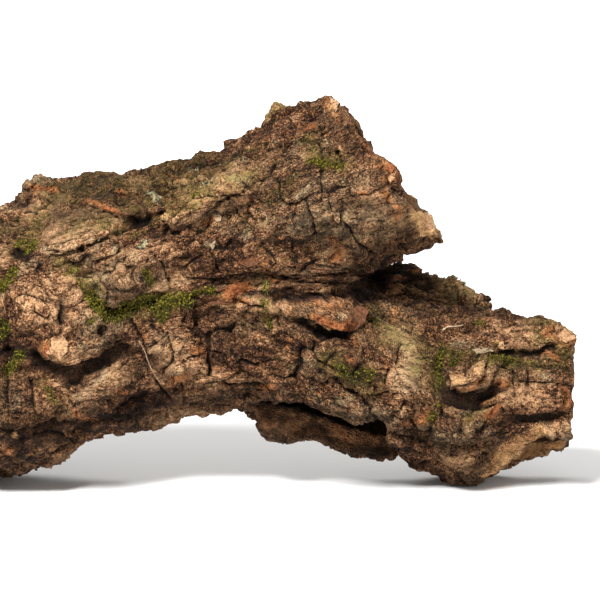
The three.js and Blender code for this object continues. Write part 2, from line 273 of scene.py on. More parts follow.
# For points in mm: coordinates that follow the bark, and which skin each is on.
def layOut(points, normals):
    drawn = points - np.array(view["drawingInFrame"])
    height = drawn @ upward
    shares, ways, centres = [], [], []
    for stations in limbs.values():
        places, depth, middle, up, deep = zip(*stations)
        radii = [np.interp(drawn[:, 0], places, values) for values in (deep, up)]
        centre = np.interp(drawn[:, 0], places, middle)
        across = drawn[:, 1] - np.interp(drawn[:, 0], places, depth)
        apart = across / radii[0], (height - centre) / radii[1]
        way = np.stack((apart[0] / radii[0], apart[1] / radii[1]), 1)
        shares.append(np.hypot(*apart))
        ways.append(way / np.maximum(np.linalg.norm(way, axis=1), 1e-9)[:, None])
        centres.append(centre)
    inside = smoothStep(0.93, 0.85, np.min(shares, axis=0))
    radial = np.stack(ways)[np.argmin(shares, axis=0), np.arange(len(points))]
    outward = normals[:, 1] * radial[:, 0] + (normals @ upward) * radial[:, 1]
    inBranch = smoothStep(-0.3, 0.3, shares[0] - shares[1])
    centre = centres[0] + (centres[1] - centres[0]) * inBranch
    along = drawn[:, 0] + 0.35 * (height - middleHeight) * inBranch
    grain = np.stack((along, drawn[:, 1], height - centre), 1)
    atEnd = np.zeros(len(points))
    for name, (place, facing) in brokenEnds.items():
        past = (drawn - np.array(place)) @ np.array(facing)
        near = smoothStep(0.3, 0.7, inBranch) if name == "branch" else 1
        atEnd = np.maximum(atEnd, smoothStep(-9, -5, past) * near)
    split = (drawn[:, 0] > 8) & (height < centres[0] - 4)
    broken = (1 - smoothStep(0.35, 0.65, np.abs(outward))) * np.maximum(atEnd, split)
    inner = smoothStep(0.1, -0.3, outward) * inside
    skin = {
        "outer": (1 - inner) * (1 - broken),
        "inner": inner * (1 - broken),
        "broken": broken,
        "atEnd": atEnd,
        "front": smoothStep(0.1, 0.5, normals @ backward),
        "seen": smoothStep(-0.15, 0.15, normals @ backward),
        "hidden": smoothStep(-0.05, -0.35, normals @ backward),
        "up": normals[:, 2],
    }
    return grain, skin


# Plates that lift off the front: the way the free edge looks in degrees (0 right, 90 up), how
# far that edge lifts and how thick the plate is in mm, and its outline in pixels.
frontPlates = [
    (270, 2.6, 1.8, "50,334 54,340 61,337 69,341 67,352 62,358 56,354 46,352 52,346"),
    (260, 3.0, 2.4, "222,296 226,287 236,282 247,283 256,287 264,290 252,293 240,297 230,299"),
    (270, 3.4, 2.6, "240,284 262,283 290,286 310,292 290,293 262,292 246,291"),
    (275, 4.2, 2.6, "301,318 312,311 326,301 346,297 357,301 353,313 355,322 343,331 331,329 320,324 "
     "310,322"),
    (320, 2.8, 1.9, "348,322 354,310 363,302 373,307 371,319 362,330 353,331"),
    (290, 2.8, 1.9, "336,352 341,342 352,337 364,340 369,346 361,356 350,361 342,360"),
    (250, 1.8, 1.8, "449,341 456,335 467,335 477,342 476,350 466,352 455,351"),
    (270, 3.2, 3.0, "488,338 498,322 520,316 545,320 562,330 557,345 538,349 520,352 504,350"),
    (280, 3.2, 2.6, "497,388 508,376 530,371 556,380 561,405 548,416 528,417 511,421 501,408"),
    (300, 2.6, 2.4, "455,420 470,412 490,398 505,402 497,412 480,425 470,436"),
    (315, 2.8, 2.2, "92,199 112,193 128,200 140,212 134,219 122,216 108,208 96,206"),
    (285, 1.8, 1.8, "44,238 60,232 84,228 106,222 114,226 104,236 86,245 64,250 46,250"),
    (290, 2.2, 1.6, "70,252 92,243 104,244 92,253 72,262"),
    (285, 2.8, 3.0, "96,296 99,284 112,274 130,270 148,274 144,286 132,297 116,304 103,303"),
    (260, 2.4, 2.4, "145,203 150,192 160,190 166,199 163,210 151,211"),
    (290, 2.6, 2.4, "166,222 186,208 214,203 224,209 206,222 184,232 168,236"),
    (240, 1.4, 1.8, "231,222 243,212 258,222 254,236 241,246 232,236"),
    (300, 1.2, 1.3, "206,240 214,236 219,243 212,250"),
    (320, 2.4, 2.2, "310,126 322,120 338,132 342,148 332,152 320,140"),
    (300, 2.2, 2.4, "262,120 268,106 280,103 290,114 284,126 270,130"),
    (270, 2.2, 2.2, "308,186 324,172 340,170 344,182 328,190 314,200"),
    (280, 2.2, 2.2, "352,240 372,228 398,222 404,234 384,246 362,256"),
    (270, 2.4, 2.2, "262,256 282,250 300,262 296,276 276,272"),
    (290, 2.4, 2.8, "72,405 86,388 106,374 122,370 124,382 110,396 92,408 80,416"),
    (270, 2.6, 2.4, "10,384 22,374 32,382 36,404 30,424 14,424 8,404"),
    (260, 1.8, 2.0, "214,340 228,332 256,330 262,346 240,356 218,356"),
    (265, 2.0, 2.2, "160,350 184,345 206,352 206,372 186,374 168,366"),
    (280, 2.0, 2.2, "262,358 286,350 300,362 292,384 270,388"),
    (250, 2.0, 2.2, "498,428 508,418 530,420 548,424 536,434 516,446 502,446"),
    (320, 3.0, 3.4, "376,168 388,160 400,164 404,174 396,186 384,184"),
    (0, 2.0, 3.4, "414,222 420,212 432,214 437,226 430,238 418,236"),
]
# Rolled lips of bark: radius in mm at the start, middle and end, and their line in pixels.
rolledLips = [
    ((2.0, 4.4, 2.4), "447,372 453,381 463,384 473,379 481,368 485,356"),
    ((1.4, 3.0, 1.6), "455,390 464,394 476,391 485,382 490,371 491,361"),
    ((2.2, 3.0, 1.8), "28,187 38,182 50,183 58,188"),
]
plates = {
    "sinkAtHinge": 1.1,  # mm that a plate's fixed edge lies in the bark
    "wobble": 1.6,  # pixels that its outline wanders
    "ragged": 0.9,  # pixels that each of its points is off by
    "scattered": 460,  # plates all over, by chance
    "length": (8, 24),  # mm along the bark
    "width": (5, 12),
    "lift": (1.0, 2.8),
    "thickness": (1.6, 2.4),
    "corners": 9,
    "lipBalls": 25,  # balls in a row, joined to a rolled lip
    "seed": 5,
}


# Adds one plate: its outline lies flat, then each of its points is placed on the bark, and the
# sheet is given its thickness against the way it looks.
def addPlate(whole, corners, cuts, placed, looks, thickness):
    shape = bmesh.new()
    face = shape.faces.new([shape.verts.new((x, y, 0)) for x, y in corners])
    bmesh.ops.poke(shape, faces=[face])
    bmesh.ops.subdivide_edges(shape, edges=shape.edges[:], cuts=cuts, use_grid_fill=True)
    for vertex in shape.verts:
        vertex.co = placed(vertex.co.x, vertex.co.y)
    made = bmesh.ops.extrude_face_region(shape, geom=shape.faces[:], use_keep_orig=True)
    below = [item for item in made["geom"] if isinstance(item, bmesh.types.BMVert)]
    bmesh.ops.translate(shape, verts=below, vec=looks * -thickness / 1000)
    bmesh.ops.recalc_face_normals(shape, faces=shape.faces)
    addShape(whole, shape)


def addShape(whole, shape):
    piece = meshOf(shape)
    whole.from_mesh(piece)
    bpy.data.meshes.remove(piece)


def addFrontPlates(whole, tree, chosen, rules, dice):
    for looks, lift, thickness, text in chosen:
        outline = pathOf(text)
        free = Vector((math.cos(math.radians(looks)), -math.sin(math.radians(looks))))
        reach = [Vector(corner).dot(free) for corner in outline]
        low, high = min(reach), max(reach)
        jitter = rules["wobble"]
        corners = [(x + dice.uniform(-jitter, jitter), y + dice.uniform(-jitter, jitter))
                   for x, y in outline]
        # A point past the edge keeps near the others, and doesn't fall to a wall behind
        nearness = sorted(castAt(tree, x, y).dot(Vector(backward)) for x, y in corners)
        usual = nearness[len(nearness) * 3 // 4]
        slack = np.ptp(outline, axis=0).max() * view["mmPerPixel"] / 2000

        def placed(x, y):
            x += dice.uniform(-1, 1) * rules["ragged"]
            y += dice.uniform(-1, 1) * rules["ragged"]
            place = castAt(tree, x, y)
            near = place.dot(Vector(backward))
            place += Vector(backward) * float(np.clip(near, usual - slack, usual + slack) - near)
            share = max(0.0, (Vector((x, y)).dot(free) - low) / (high - low))
            rise = -rules["sinkAtHinge"] + (lift + rules["sinkAtHinge"]) * share
            return place + Vector(backward) * rise / 1000

        addPlate(whole, corners, 3, placed, Vector(backward), thickness)


def addScatteredPlates(whole, tree, points, normals, grainWay):
    dice = random.Random(plates["seed"] + 1)
    for _ in range(plates["scattered"]):
        pick = dice.randrange(len(points))
        centre, normal = Vector(points[pick]) / 1000, Vector(normals[pick])
        along = Vector(grainWay[pick])
        along = (along - normal * along.dot(normal)).normalized()
        across = normal.cross(along)
        length, width = dice.uniform(*plates["length"]) / 2, dice.uniform(*plates["width"]) / 2
        lift, thickness = dice.uniform(*plates["lift"]), dice.uniform(*plates["thickness"])
        looks = dice.choice((0, 0.5, 1, 1, 1.5)) * math.pi + dice.uniform(-0.5, 0.5)
        corners = []
        for step in range(plates["corners"]):
            turn = step / plates["corners"] * 2 * math.pi + dice.uniform(-0.2, 0.2)
            reach = dice.uniform(0.75, 1.15)
            corners.append((math.cos(turn) * reach * length, math.sin(turn) * reach * width))

        def placed(x, y):
            spot = centre + (along * x + across * y) / 1000
            near, way, _, _ = tree.find_nearest(spot)
            share = 0.5 + 0.5 * (x / length * math.cos(looks) + y / width * math.sin(looks))
            rise = -plates["sinkAtHinge"] + (lift + plates["sinkAtHinge"]) * max(0.0, share)
            return near + way * rise / 1000

        addPlate(whole, corners, 2, placed, normal, thickness)


def addRolledLips(whole, tree):
    for radii, text in rolledLips:
        path = pathOf(text)
        shape = bmesh.new()
        for share in np.linspace(0, 1, plates["lipBalls"]):
            at = share * (len(path) - 1)
            across, down = (np.interp(at, range(len(path)), values) for values in zip(*path))
            place = castAt(tree, across, down)
            radius = np.interp(share, (0, 0.5, 1), radii) / 1000
            made = bmesh.ops.create_icosphere(shape, subdivisions=2, radius=radius)
            bmesh.ops.translate(shape, verts=made["verts"], vec=place + Vector(backward) * radius * 0.4)
        addShape(whole, shape)


surface = {
    "firstVoxel": 1.1,  # mm, for smoothing the solid's flat faces away
    "firstRounds": 14,
    "push": 0.62,  # keeps the thin walls from shrinking meanwhile
    "voxel": 0.85,
    "rounds": 2,
    "branchFrom": 110,  # mm up, where the bark runs along the upper fork
    "branchWay": (0.9, 0, 0.42),
    "trunkWay": (1, 0, -0.1),
}


# The solid's own surface without its flat faces, with plates and lips standing on it.
def grownSurface():
    shape = bmesh.new()
    shape.from_mesh(barkNode.data)
    bmesh.ops.remove_doubles(shape, verts=shape.verts, dist=1e-6)
    voxels = {"mode": "VOXEL", "voxel_size": surface["firstVoxel"] / 1000}
    even = modified(meshOf(shape), "REMESH", voxels)
    edges = arrayOf(even.edges, "vertices", 2, np.int32)
    points = blurred(arrayOf(even.vertices, "co", 3), edges, surface["firstRounds"], surface["push"])
    even.vertices.foreach_set("co", points.ravel())
    even.update()
    print("smoothed solid:", len(points), "vertices")

    tree = treeOf(even)
    normals = arrayOf(even.vertices, "normal", 3)
    grain, skin = layOut(points * 1000, normals)
    whole = bmesh.new()
    whole.from_mesh(even)
    addFrontPlates(whole, tree, frontPlates, plates, random.Random(plates["seed"]))
    addRolledLips(whole, tree)
    bare = (skin["outer"] > 0.9) & (skin["atEnd"] < 0.1)
    inBranch = (points @ upward * 1000 > surface["branchFrom"])[bare]
    grainWay = np.where(inBranch[:, None], surface["branchWay"], surface["trunkWay"])
    addScatteredPlates(whole, tree, points[bare] * 1000, normals[bare], grainWay)
    print("plates and lips added")
    voxels = {"mode": "VOXEL", "voxel_size": surface["voxel"] / 1000}
    made = modified(meshOf(whole), "REMESH", voxels)
    edges = arrayOf(made.edges, "vertices", 2, np.int32)
    points = blurred(arrayOf(made.vertices, "co", 3), edges, surface["rounds"])
    made.vertices.foreach_set("co", points.ravel())
    made.update()
    print("grown surface:", len(points), "vertices")
    return made, edges


# Marks on the front, of each kind: height in mm, reach in pixels, and the pixels they follow.
# A ledge stands up on the upper side of a line drawn to the right.
frontMarks = {
    "crack": [
        (-5.0, 2.0, "127,318 133,330 141,343 148,360 158,380 165,392 173,403"),
        (-5.0, 2.0, "209,328 210,345 208,360 210,376"), (-3.5, 2.0, "210,334 216,329 226,326 236,322"),
        (-3.0, 1.6, "243,323 249,320 257,322"), (-4.0, 2.0, "66,263 78,261 92,254"),
        (-2.2, 1.2, "42,252 58,249 78,250 92,243 104,235"),
        (-1.6, 1.1, "46,246 62,243 84,240 100,231 114,228"),
        (-1.4, 1.0, "56,238 76,236 96,228 112,222"), (-1.2, 1.0, "58,231 80,229 98,222 116,218"),
        (-1.2, 1.0, "60,224 84,222 104,216"), (-4.5, 1.9, "306,203 310,216 316,236"),
        (-4.8, 2.0, "341,212 345,222 352,234 361,247 376,257"), (-2.4, 1.2, "349,186 350,192 353,199"),
        (-2.2, 1.2, "335,202 344,197 349,187"), (-2.0, 1.1, "328,200 331,214 336,224"),
        (-2.4, 1.2, "228,205 219,212 212,220 206,228"),
        (-2.4, 1.2, "234,203 235,212 243,219 252,226 259,234"), (-2.2, 1.1, "231,220 237,229 243,237"),
        (-2.2, 1.1, "212,234 218,243 224,249 236,238"), (-2.4, 1.2, "259,222 248,214 242,219"),
        (-3.0, 1.8, "264,246 272,252 276,262 270,270"), (-2.6, 1.5, "282,240 292,242 294,252 302,260"),
        (-2.4, 1.4, "318,258 308,264 300,272"), (-2.6, 1.4, "215,264 219,273 225,280"),
        (-4.6, 2.2, "319,334 314,342 310,351"), (-4.2, 2.4, "302,345 299,355 300,366 297,376"),
        (-2.6, 1.6, "258,356 272,358 288,354"), (-2.2, 1.4, "266,372 284,378 300,372"),
        (-3.0, 1.8, "222,384 238,388 256,384 276,392"), (-4.0, 2.2, "233,404 237,408 240,412"),
        (-4.0, 2.6, "16,430 28,424 45,423 62,424 80,419 88,416"),
        (-4.0, 2.6, "113,413 126,404 138,399 152,396"), (-3.6, 2.2, "3,384 8,400 9,420"),
        (-2.8, 1.8, "30,374 34,394 36,412"), (-2.4, 1.5, "64,376 66,392 72,406 80,416"),
        (-3.0, 1.8, "62,303 64,314 60,322"), (-2.6, 1.6, "84,300 74,306 64,308"),
        (-2.2, 1.3, "12,300 24,294 38,298 52,304"), (-2.0, 1.3, "34,302 35,312 50,318 53,308"),
        (-5.0, 2.4, "492,352 504,353 520,355 537,351 556,347"),
        (-7.0, 2.8, "500,426 510,420 530,419 551,418 566,414"), (-3.0, 1.8, "481,432 489,418 500,405"),
        (-2.6, 1.6, "471,402 482,408 497,404"), (-4.5, 1.1, "454,385 464,388 476,384 483,376 487,362"),
        (-3.0, 1.4, "513,370 513,384 516,396"), (-3.0, 1.4, "526,368 527,382 526,398"),
        (-2.4, 1.2, "500,366 530,364 558,366"), (-3.0, 1.6, "494,396 502,404 506,416"),
        (-2.2, 1.6, "402,343 400,354 397,364"), (-2.6, 1.6, "392,364 389,374 384,384"),
        (-2.0, 1.4, "380,386 374,396 366,402"), (-2.6, 1.6, "347,372 338,380 330,386"),
        (-3.4, 2.0, "336,350 330,358 322,366"), (-2.6, 1.6, "323,160 318,148 314,140"),
        (-2.4, 1.6, "298,168 288,176 276,182"), (-2.8, 1.8, "246,194 232,196 226,204"),
        (-3.4, 2.4, "152,238 166,229 182,232 200,224 214,212 226,200"),
        (-2.8, 2.0, "174,233 190,228 204,232"),
    ],
    "groove": [
        (-3.4, 5.0, "445,344 441,358 439,376 437,396"), (-4.2, 5.0, "446,392 441,408 434,424 426,440"),
        (-3.0, 4.0, "407,402 398,412 390,420"),
        (-8.0, 3.6, "444,384 450,396 462,403 476,402 488,395 497,384"),
        (-6.0, 2.6, "444,372 443,380 446,388"), (-3.5, 4.5, "456,366 466,368 474,360"),
        (-4.5, 4.0, "195,298 199,310 197,324"), (-5.0, 3.2, "236,291 252,293 272,293 292,290"),
        (-4.0, 3.6, "276,300 290,297 312,297 332,294 352,290 374,281"),
        (-4.6, 3.6, "300,322 312,327 326,333 342,335 354,328"),
        (-6.5, 5.5, "34,356 46,364 60,371 74,373 88,367 102,359 124,350"),
        (-4.0, 4.0, "58,371 66,380 72,388"), (-3.0, 5.0, "6,392 4,370 12,352"),
        (-2.6, 5.0, "86,296 96,306 112,312 134,308 150,300 170,290"),
        (-3.0, 4.0, "440,318 456,324 474,330 492,334"), (-2.6, 5.0, "40,266 24,274 8,284"),
        (-4.5, 2.2, "112,229 126,228 140,224 150,216"),
    ],
    "ridge": [
        (2.4, 9.0, "76,402 92,390 108,378 120,372"), (2.0, 7.0, "388,304 420,312 448,306 476,302"),
        (2.2, 6.0, "148,246 168,246 196,250 214,262"), (1.8, 6.0, "320,186 336,176 356,178 376,184"),
    ],
    "ledge": [
        (2.4, 12.0, "44,254 62,252 84,246 104,238 118,229"),
        (2.0, 7.0, "82,206 96,208 112,212 126,220"),
        (2.6, 12.0, "92,300 104,306 120,306 134,298 146,288"),
        (2.0, 9.0, "258,266 276,274 296,280 318,284 344,284"),
        (2.4, 12.0, "340,384 358,392 376,396 392,388"), (1.8, 10.0, "212,356 232,362 256,362 280,356"),
        (2.0, 8.0, "4,418 20,422 36,420"), (1.8, 8.0, "238,156 256,150 276,146 296,138"),
    ],
}
# Lumps and pits on the front: height in mm, middle and half size in pixels.
frontLumps = [
    (3.0, (155, 200), (11, 11)), (2.6, (48, 308), (7, 6)), (2.6, (503, 379), (9, 8)),
    (2.0, (520, 379), (6, 10)), (2.4, (558, 336), (16, 10)), (2.6, (18, 402), (12, 18)),
    (2.4, (184, 398), (18, 13)), (2.0, (196, 352), (12, 14)), (-8.0, (141, 221), (11, 6)),
    (-4.5, (118, 232), (7, 4)), (-5.0, (163, 212), (6, 4)), (-5.0, (20, 253), (11, 8)),
    (-5.0, (22, 199), (12, 8)), (-5.0, (337, 151), (6, 4)), (-4.0, (394, 196), (5, 9)),
    (-4.0, (447, 380), (3, 8)), (-3.6, (559, 336), (5, 3)), (-3.6, (476, 430), (5, 4)),
    (-4.0, (478, 396), (9, 6)), (-4.0, (72, 372), (9, 6)), (-4.0, (108, 356), (10, 6)),
]
marks = {
    "warp": 2.8,  # pixels that a mark wanders, on this many mm
    "warpSize": 8,
    "farLine": 4,  # reaches from a line at which nothing is left of it
    "farLump": 2,
    "lumpFall": 1.6,
    "worn": (0.7, 0.25),  # how deep and how wide a ledge's foot is worn, as shares of the ledge
    "ledgeTaper": 0.2,  # share of its length over which a ledge rises at each end
    "crackTaper": 0.15,
    "crackEnd": 0.25,  # share of its depth that a crack still has at its ends
}


# Distance to a path, on which side of it (above is positive), and how far along it is.
def nearPath(pixels, path):
    gap = np.full(len(pixels), 1e9)
    side = np.ones(len(pixels))
    along = np.zeros(len(pixels))
    lengths = [math.dist(a, b) for a, b in zip(path, path[1:])]
    done = 0.0
    for (ax, ay), (bx, by), length in zip(path, path[1:], lengths):
        way = np.array((bx - ax, by - ay)) / length
        apart = pixels - np.array((ax, ay))
        step = np.clip(apart @ way, 0, length)
        distance = np.linalg.norm(apart - step[:, None] * way, axis=1)
        closer = distance < gap
        cross = apart[:, 0] * way[1] - apart[:, 1] * way[0]
        gap = np.where(closer, distance, gap)
        side = np.where(closer, np.sign(cross), side)
        along = np.where(closer, (done + step) / sum(lengths), along)
        done += length
    return gap, side, along


def nearBox(pixels, path, margin):
    low, high = np.min(path, axis=0) - margin, np.max(path, axis=0) + margin
    return np.flatnonzero(np.all((pixels > low) & (pixels < high), axis=1))


def markRelief(pixels, front):
    total = np.zeros(len(pixels))
    wornDepth, wornReach = marks["worn"]
    for kind, marked in frontMarks.items():
        for height, reach, text in marked:
            path = pathOf(text)
            chosen = nearBox(pixels, path, reach * marks["farLine"])
            gap, side, along = nearPath(pixels[chosen], path)
            taper = 1
            if kind == "ledge":
                raised = np.exp(-gap / reach) * (side > 0)
                raised -= wornDepth * bell(gap, wornReach * reach) * (side <= 0)
                part = marks["ledgeTaper"]
                taper = smoothStep(0, part, along) * smoothStep(1, 1 - part, along)
            else:
                raised = bell(gap, reach)
            if kind == "crack":
                part, rest = marks["crackTaper"], marks["crackEnd"]
                taper = smoothStep(0, part, along) * smoothStep(1, 1 - part, along) * (1 - rest) + rest
            total[chosen] += height * raised * taper
    for height, middle, size in frontLumps:
        chosen = nearBox(pixels, [middle], marks["farLump"] * np.array(size))
        share = np.linalg.norm((pixels[chosen] - middle) / np.array(size), axis=1)
        total[chosen] += height * np.exp(-marks["lumpFall"] * share**2)
    return total * front


relief = {
    "bend": (2.2, 30),  # how far the pattern wanders, and on what size
    "smallBend": (0.9, 6),
    "lump": (1.7, 17),  # height and size in mm
    "smallLump": (0.9, 8),
    "plate": (25, 14, 14),  # size along, in depth and up
    "plateCrack": (2.4, 0.07),  # depth in mm, width as a share of the plate
    "plateStep": 1.8,
    "plateTilt": 2.2,
    "chip": (9, 5.0, 5.0),
    "chipCrack": (0.9, 0.10),
    "chipStep": 0.9,
    "chipTilt": 1.0,
    "terrace": (0.7, 2.2, (30, 5.5, 5.5)),  # step, whole height, size
    "crumb": (0.65, (3.2, 2.0, 2.0)),
    "fineCrumb": (0.6, (1.7, 1.2, 1.2)),
    "calmShare": 0.3,  # what is left of all this where the bark is smooth
    "deepestShare": 0.6,  # of the bark under it, less a rest that stays
    "rest": 1.5,
    "thickest": 12.0,  # bark under the surface, at most
    "shallow": 1.5,  # depth that any bark can bear
    "growthLine": (1.3, (28, 6, 2.6)),
    "innerRib": (1.0, (3.2, 30, 30)),
    "brokenRough": (1.3, 5.5),
    "brokenFine": (0.6, 1.9),
    "brokenLayer": (0.45, 1.5),
}


# What the bark's surface does all over, in mm, from its own coordinates.
def grownRelief(grain):
    bent = grain.copy()
    for (reach, size), seed in ((relief["bend"], 11), (relief["smallBend"], 21)):
        bent += reach * noiseVector(grain, (size,) * 3, seed)
    height, size = relief["lump"]
    total = height * noise(grain, (size * 1.5, size, size), 31)
    height, size = relief["smallLump"]
    total += height * noise(bent, (size * 1.4, size, size), 32)
    for key, seed in (("plate", 41), ("chip", 51)):
        border, own, offset = cells(bent, relief[key], seed)
        turn = own * 40
        tilt = offset[:, 0] * np.cos(turn) + offset[:, 2] * np.sin(turn) + offset[:, 1] * np.sin(turn)
        depth, width = relief[key + "Crack"]
        shown = smoothStep(-0.5, 0.3, noise(grain, (30, 22, 22), seed + 5))
        total += relief[key + "Step"] * (own - 0.5) * 2 * smoothStep(0, 0.12, border)
        total += relief[key + "Tilt"] * tilt
        total -= depth * bell(border, width) * shown
    step, height, size = relief["terrace"]
    layers = height * noise(bent, size, 61) / step
    stepped = np.floor(layers) + smoothStep(0.7, 1, layers - np.floor(layers))
    total += step * stepped * smoothStep(-0.2, 0.4, noise(grain, (34, 26, 26), 62))
    height, size = relief["crumb"]
    total += height * noise(bent, size, 71)
    height, size = relief["fineCrumb"]
    total += height * (1 - 2 * np.abs(noise(bent, size, 72)))
    return total


def growthLines(grain):  # the edges of yearly layers, thin and wavy along the bark
    height, size = relief["growthLine"]
    bent = grain + 1.6 * noiseVector(grain, (14, 10, 10), 75)
    return height * (0.5 - 2 * np.abs(noise(bent, size, 74)))


def innerRelief(grain):
    height, size = relief["innerRib"]
    return height * noise(grain, size, 81) + 0.25 * noise(grain, (5, 1.6, 1.6), 82)


def brokenRelief(grain, points):
    height, size = relief["brokenRough"]
    total = height * noise(points, (size, size, size), 91)
    height, size = relief["brokenFine"]
    total += height * noise(points, (size, size, size), 92)
    height, size = relief["brokenLayer"]
    radius = np.hypot(grain[:, 1], grain[:, 2])
    bands = np.stack((grain[:, 0] / 14, radius / size, grain[:, 1] / 14), 1)
    return total + height * noise(bands, (1, 1, 1), 93)


# Lumps and notches of the outline, which reach round to the back: pixel, size and height in mm
crests = [
    ((16, 186), 5, -3.5), ((10, 192), 4, -3), ((46, 178), 7, 1.5), ((28, 184), 5, 1.5),
    ((62, 182), 4, -1.5), ((110, 172), 9, -2.5), ((134, 172), 6, -2), ((170, 164), 5, 1.5),
    ((187, 162), 4, -3), ((199, 156), 4, 1), ((206, 156), 4, -1.5), ((223, 141), 3.5, 4.5),
    ((214, 150), 4, -1), ((233, 142), 4, -1.5), ((240, 138), 4, 1.5), ((262, 118), 5, 3),
    ((268, 110), 5, 3), ((276, 107), 5, 3.5), ((287, 112), 4, -3.5), ((301, 106), 4, 2.5),
    ((336, 104), 4, -2.5), ((344, 110), 4, -2), ((378, 162), 4, -4), ((386, 164), 5, 1.5),
    ((398, 166), 5, 3), ((408, 186), 4, 2.5), ((430, 240), 6, -4), ((424, 244), 5, -3),
    ((436, 230), 4, -1.5), ((458, 285), 5, 2), ((492, 309), 5, -2.5), ((504, 312), 5, -2.5),
    ((560, 330), 5, 2), ((572, 338), 5, 2.5), ((568, 420), 5, -2),
]


def crestRelief(tree, points):
    total = np.zeros(len(points))
    for (across, down), size, height in crests:
        place = np.array(castAt(tree, across, down)) * 1000
        total += height * bell(np.linalg.norm(points - place, axis=1), size)
    return total


def barkUnder(mesh, points, normals, chosen):  # mm of bark behind each chosen vertex
    tree = treeOf(mesh)
    thickness = np.full(len(points), relief["thickest"])
    for index in np.flatnonzero(chosen):
        start = Vector(points[index] / 1000) - Vector(normals[index]) * 2e-4
        hit = tree.ray_cast(start, -Vector(normals[index]), 0.03)
        if hit[0] is not None:
            thickness[index] = hit[3] * 1000
    return thickness


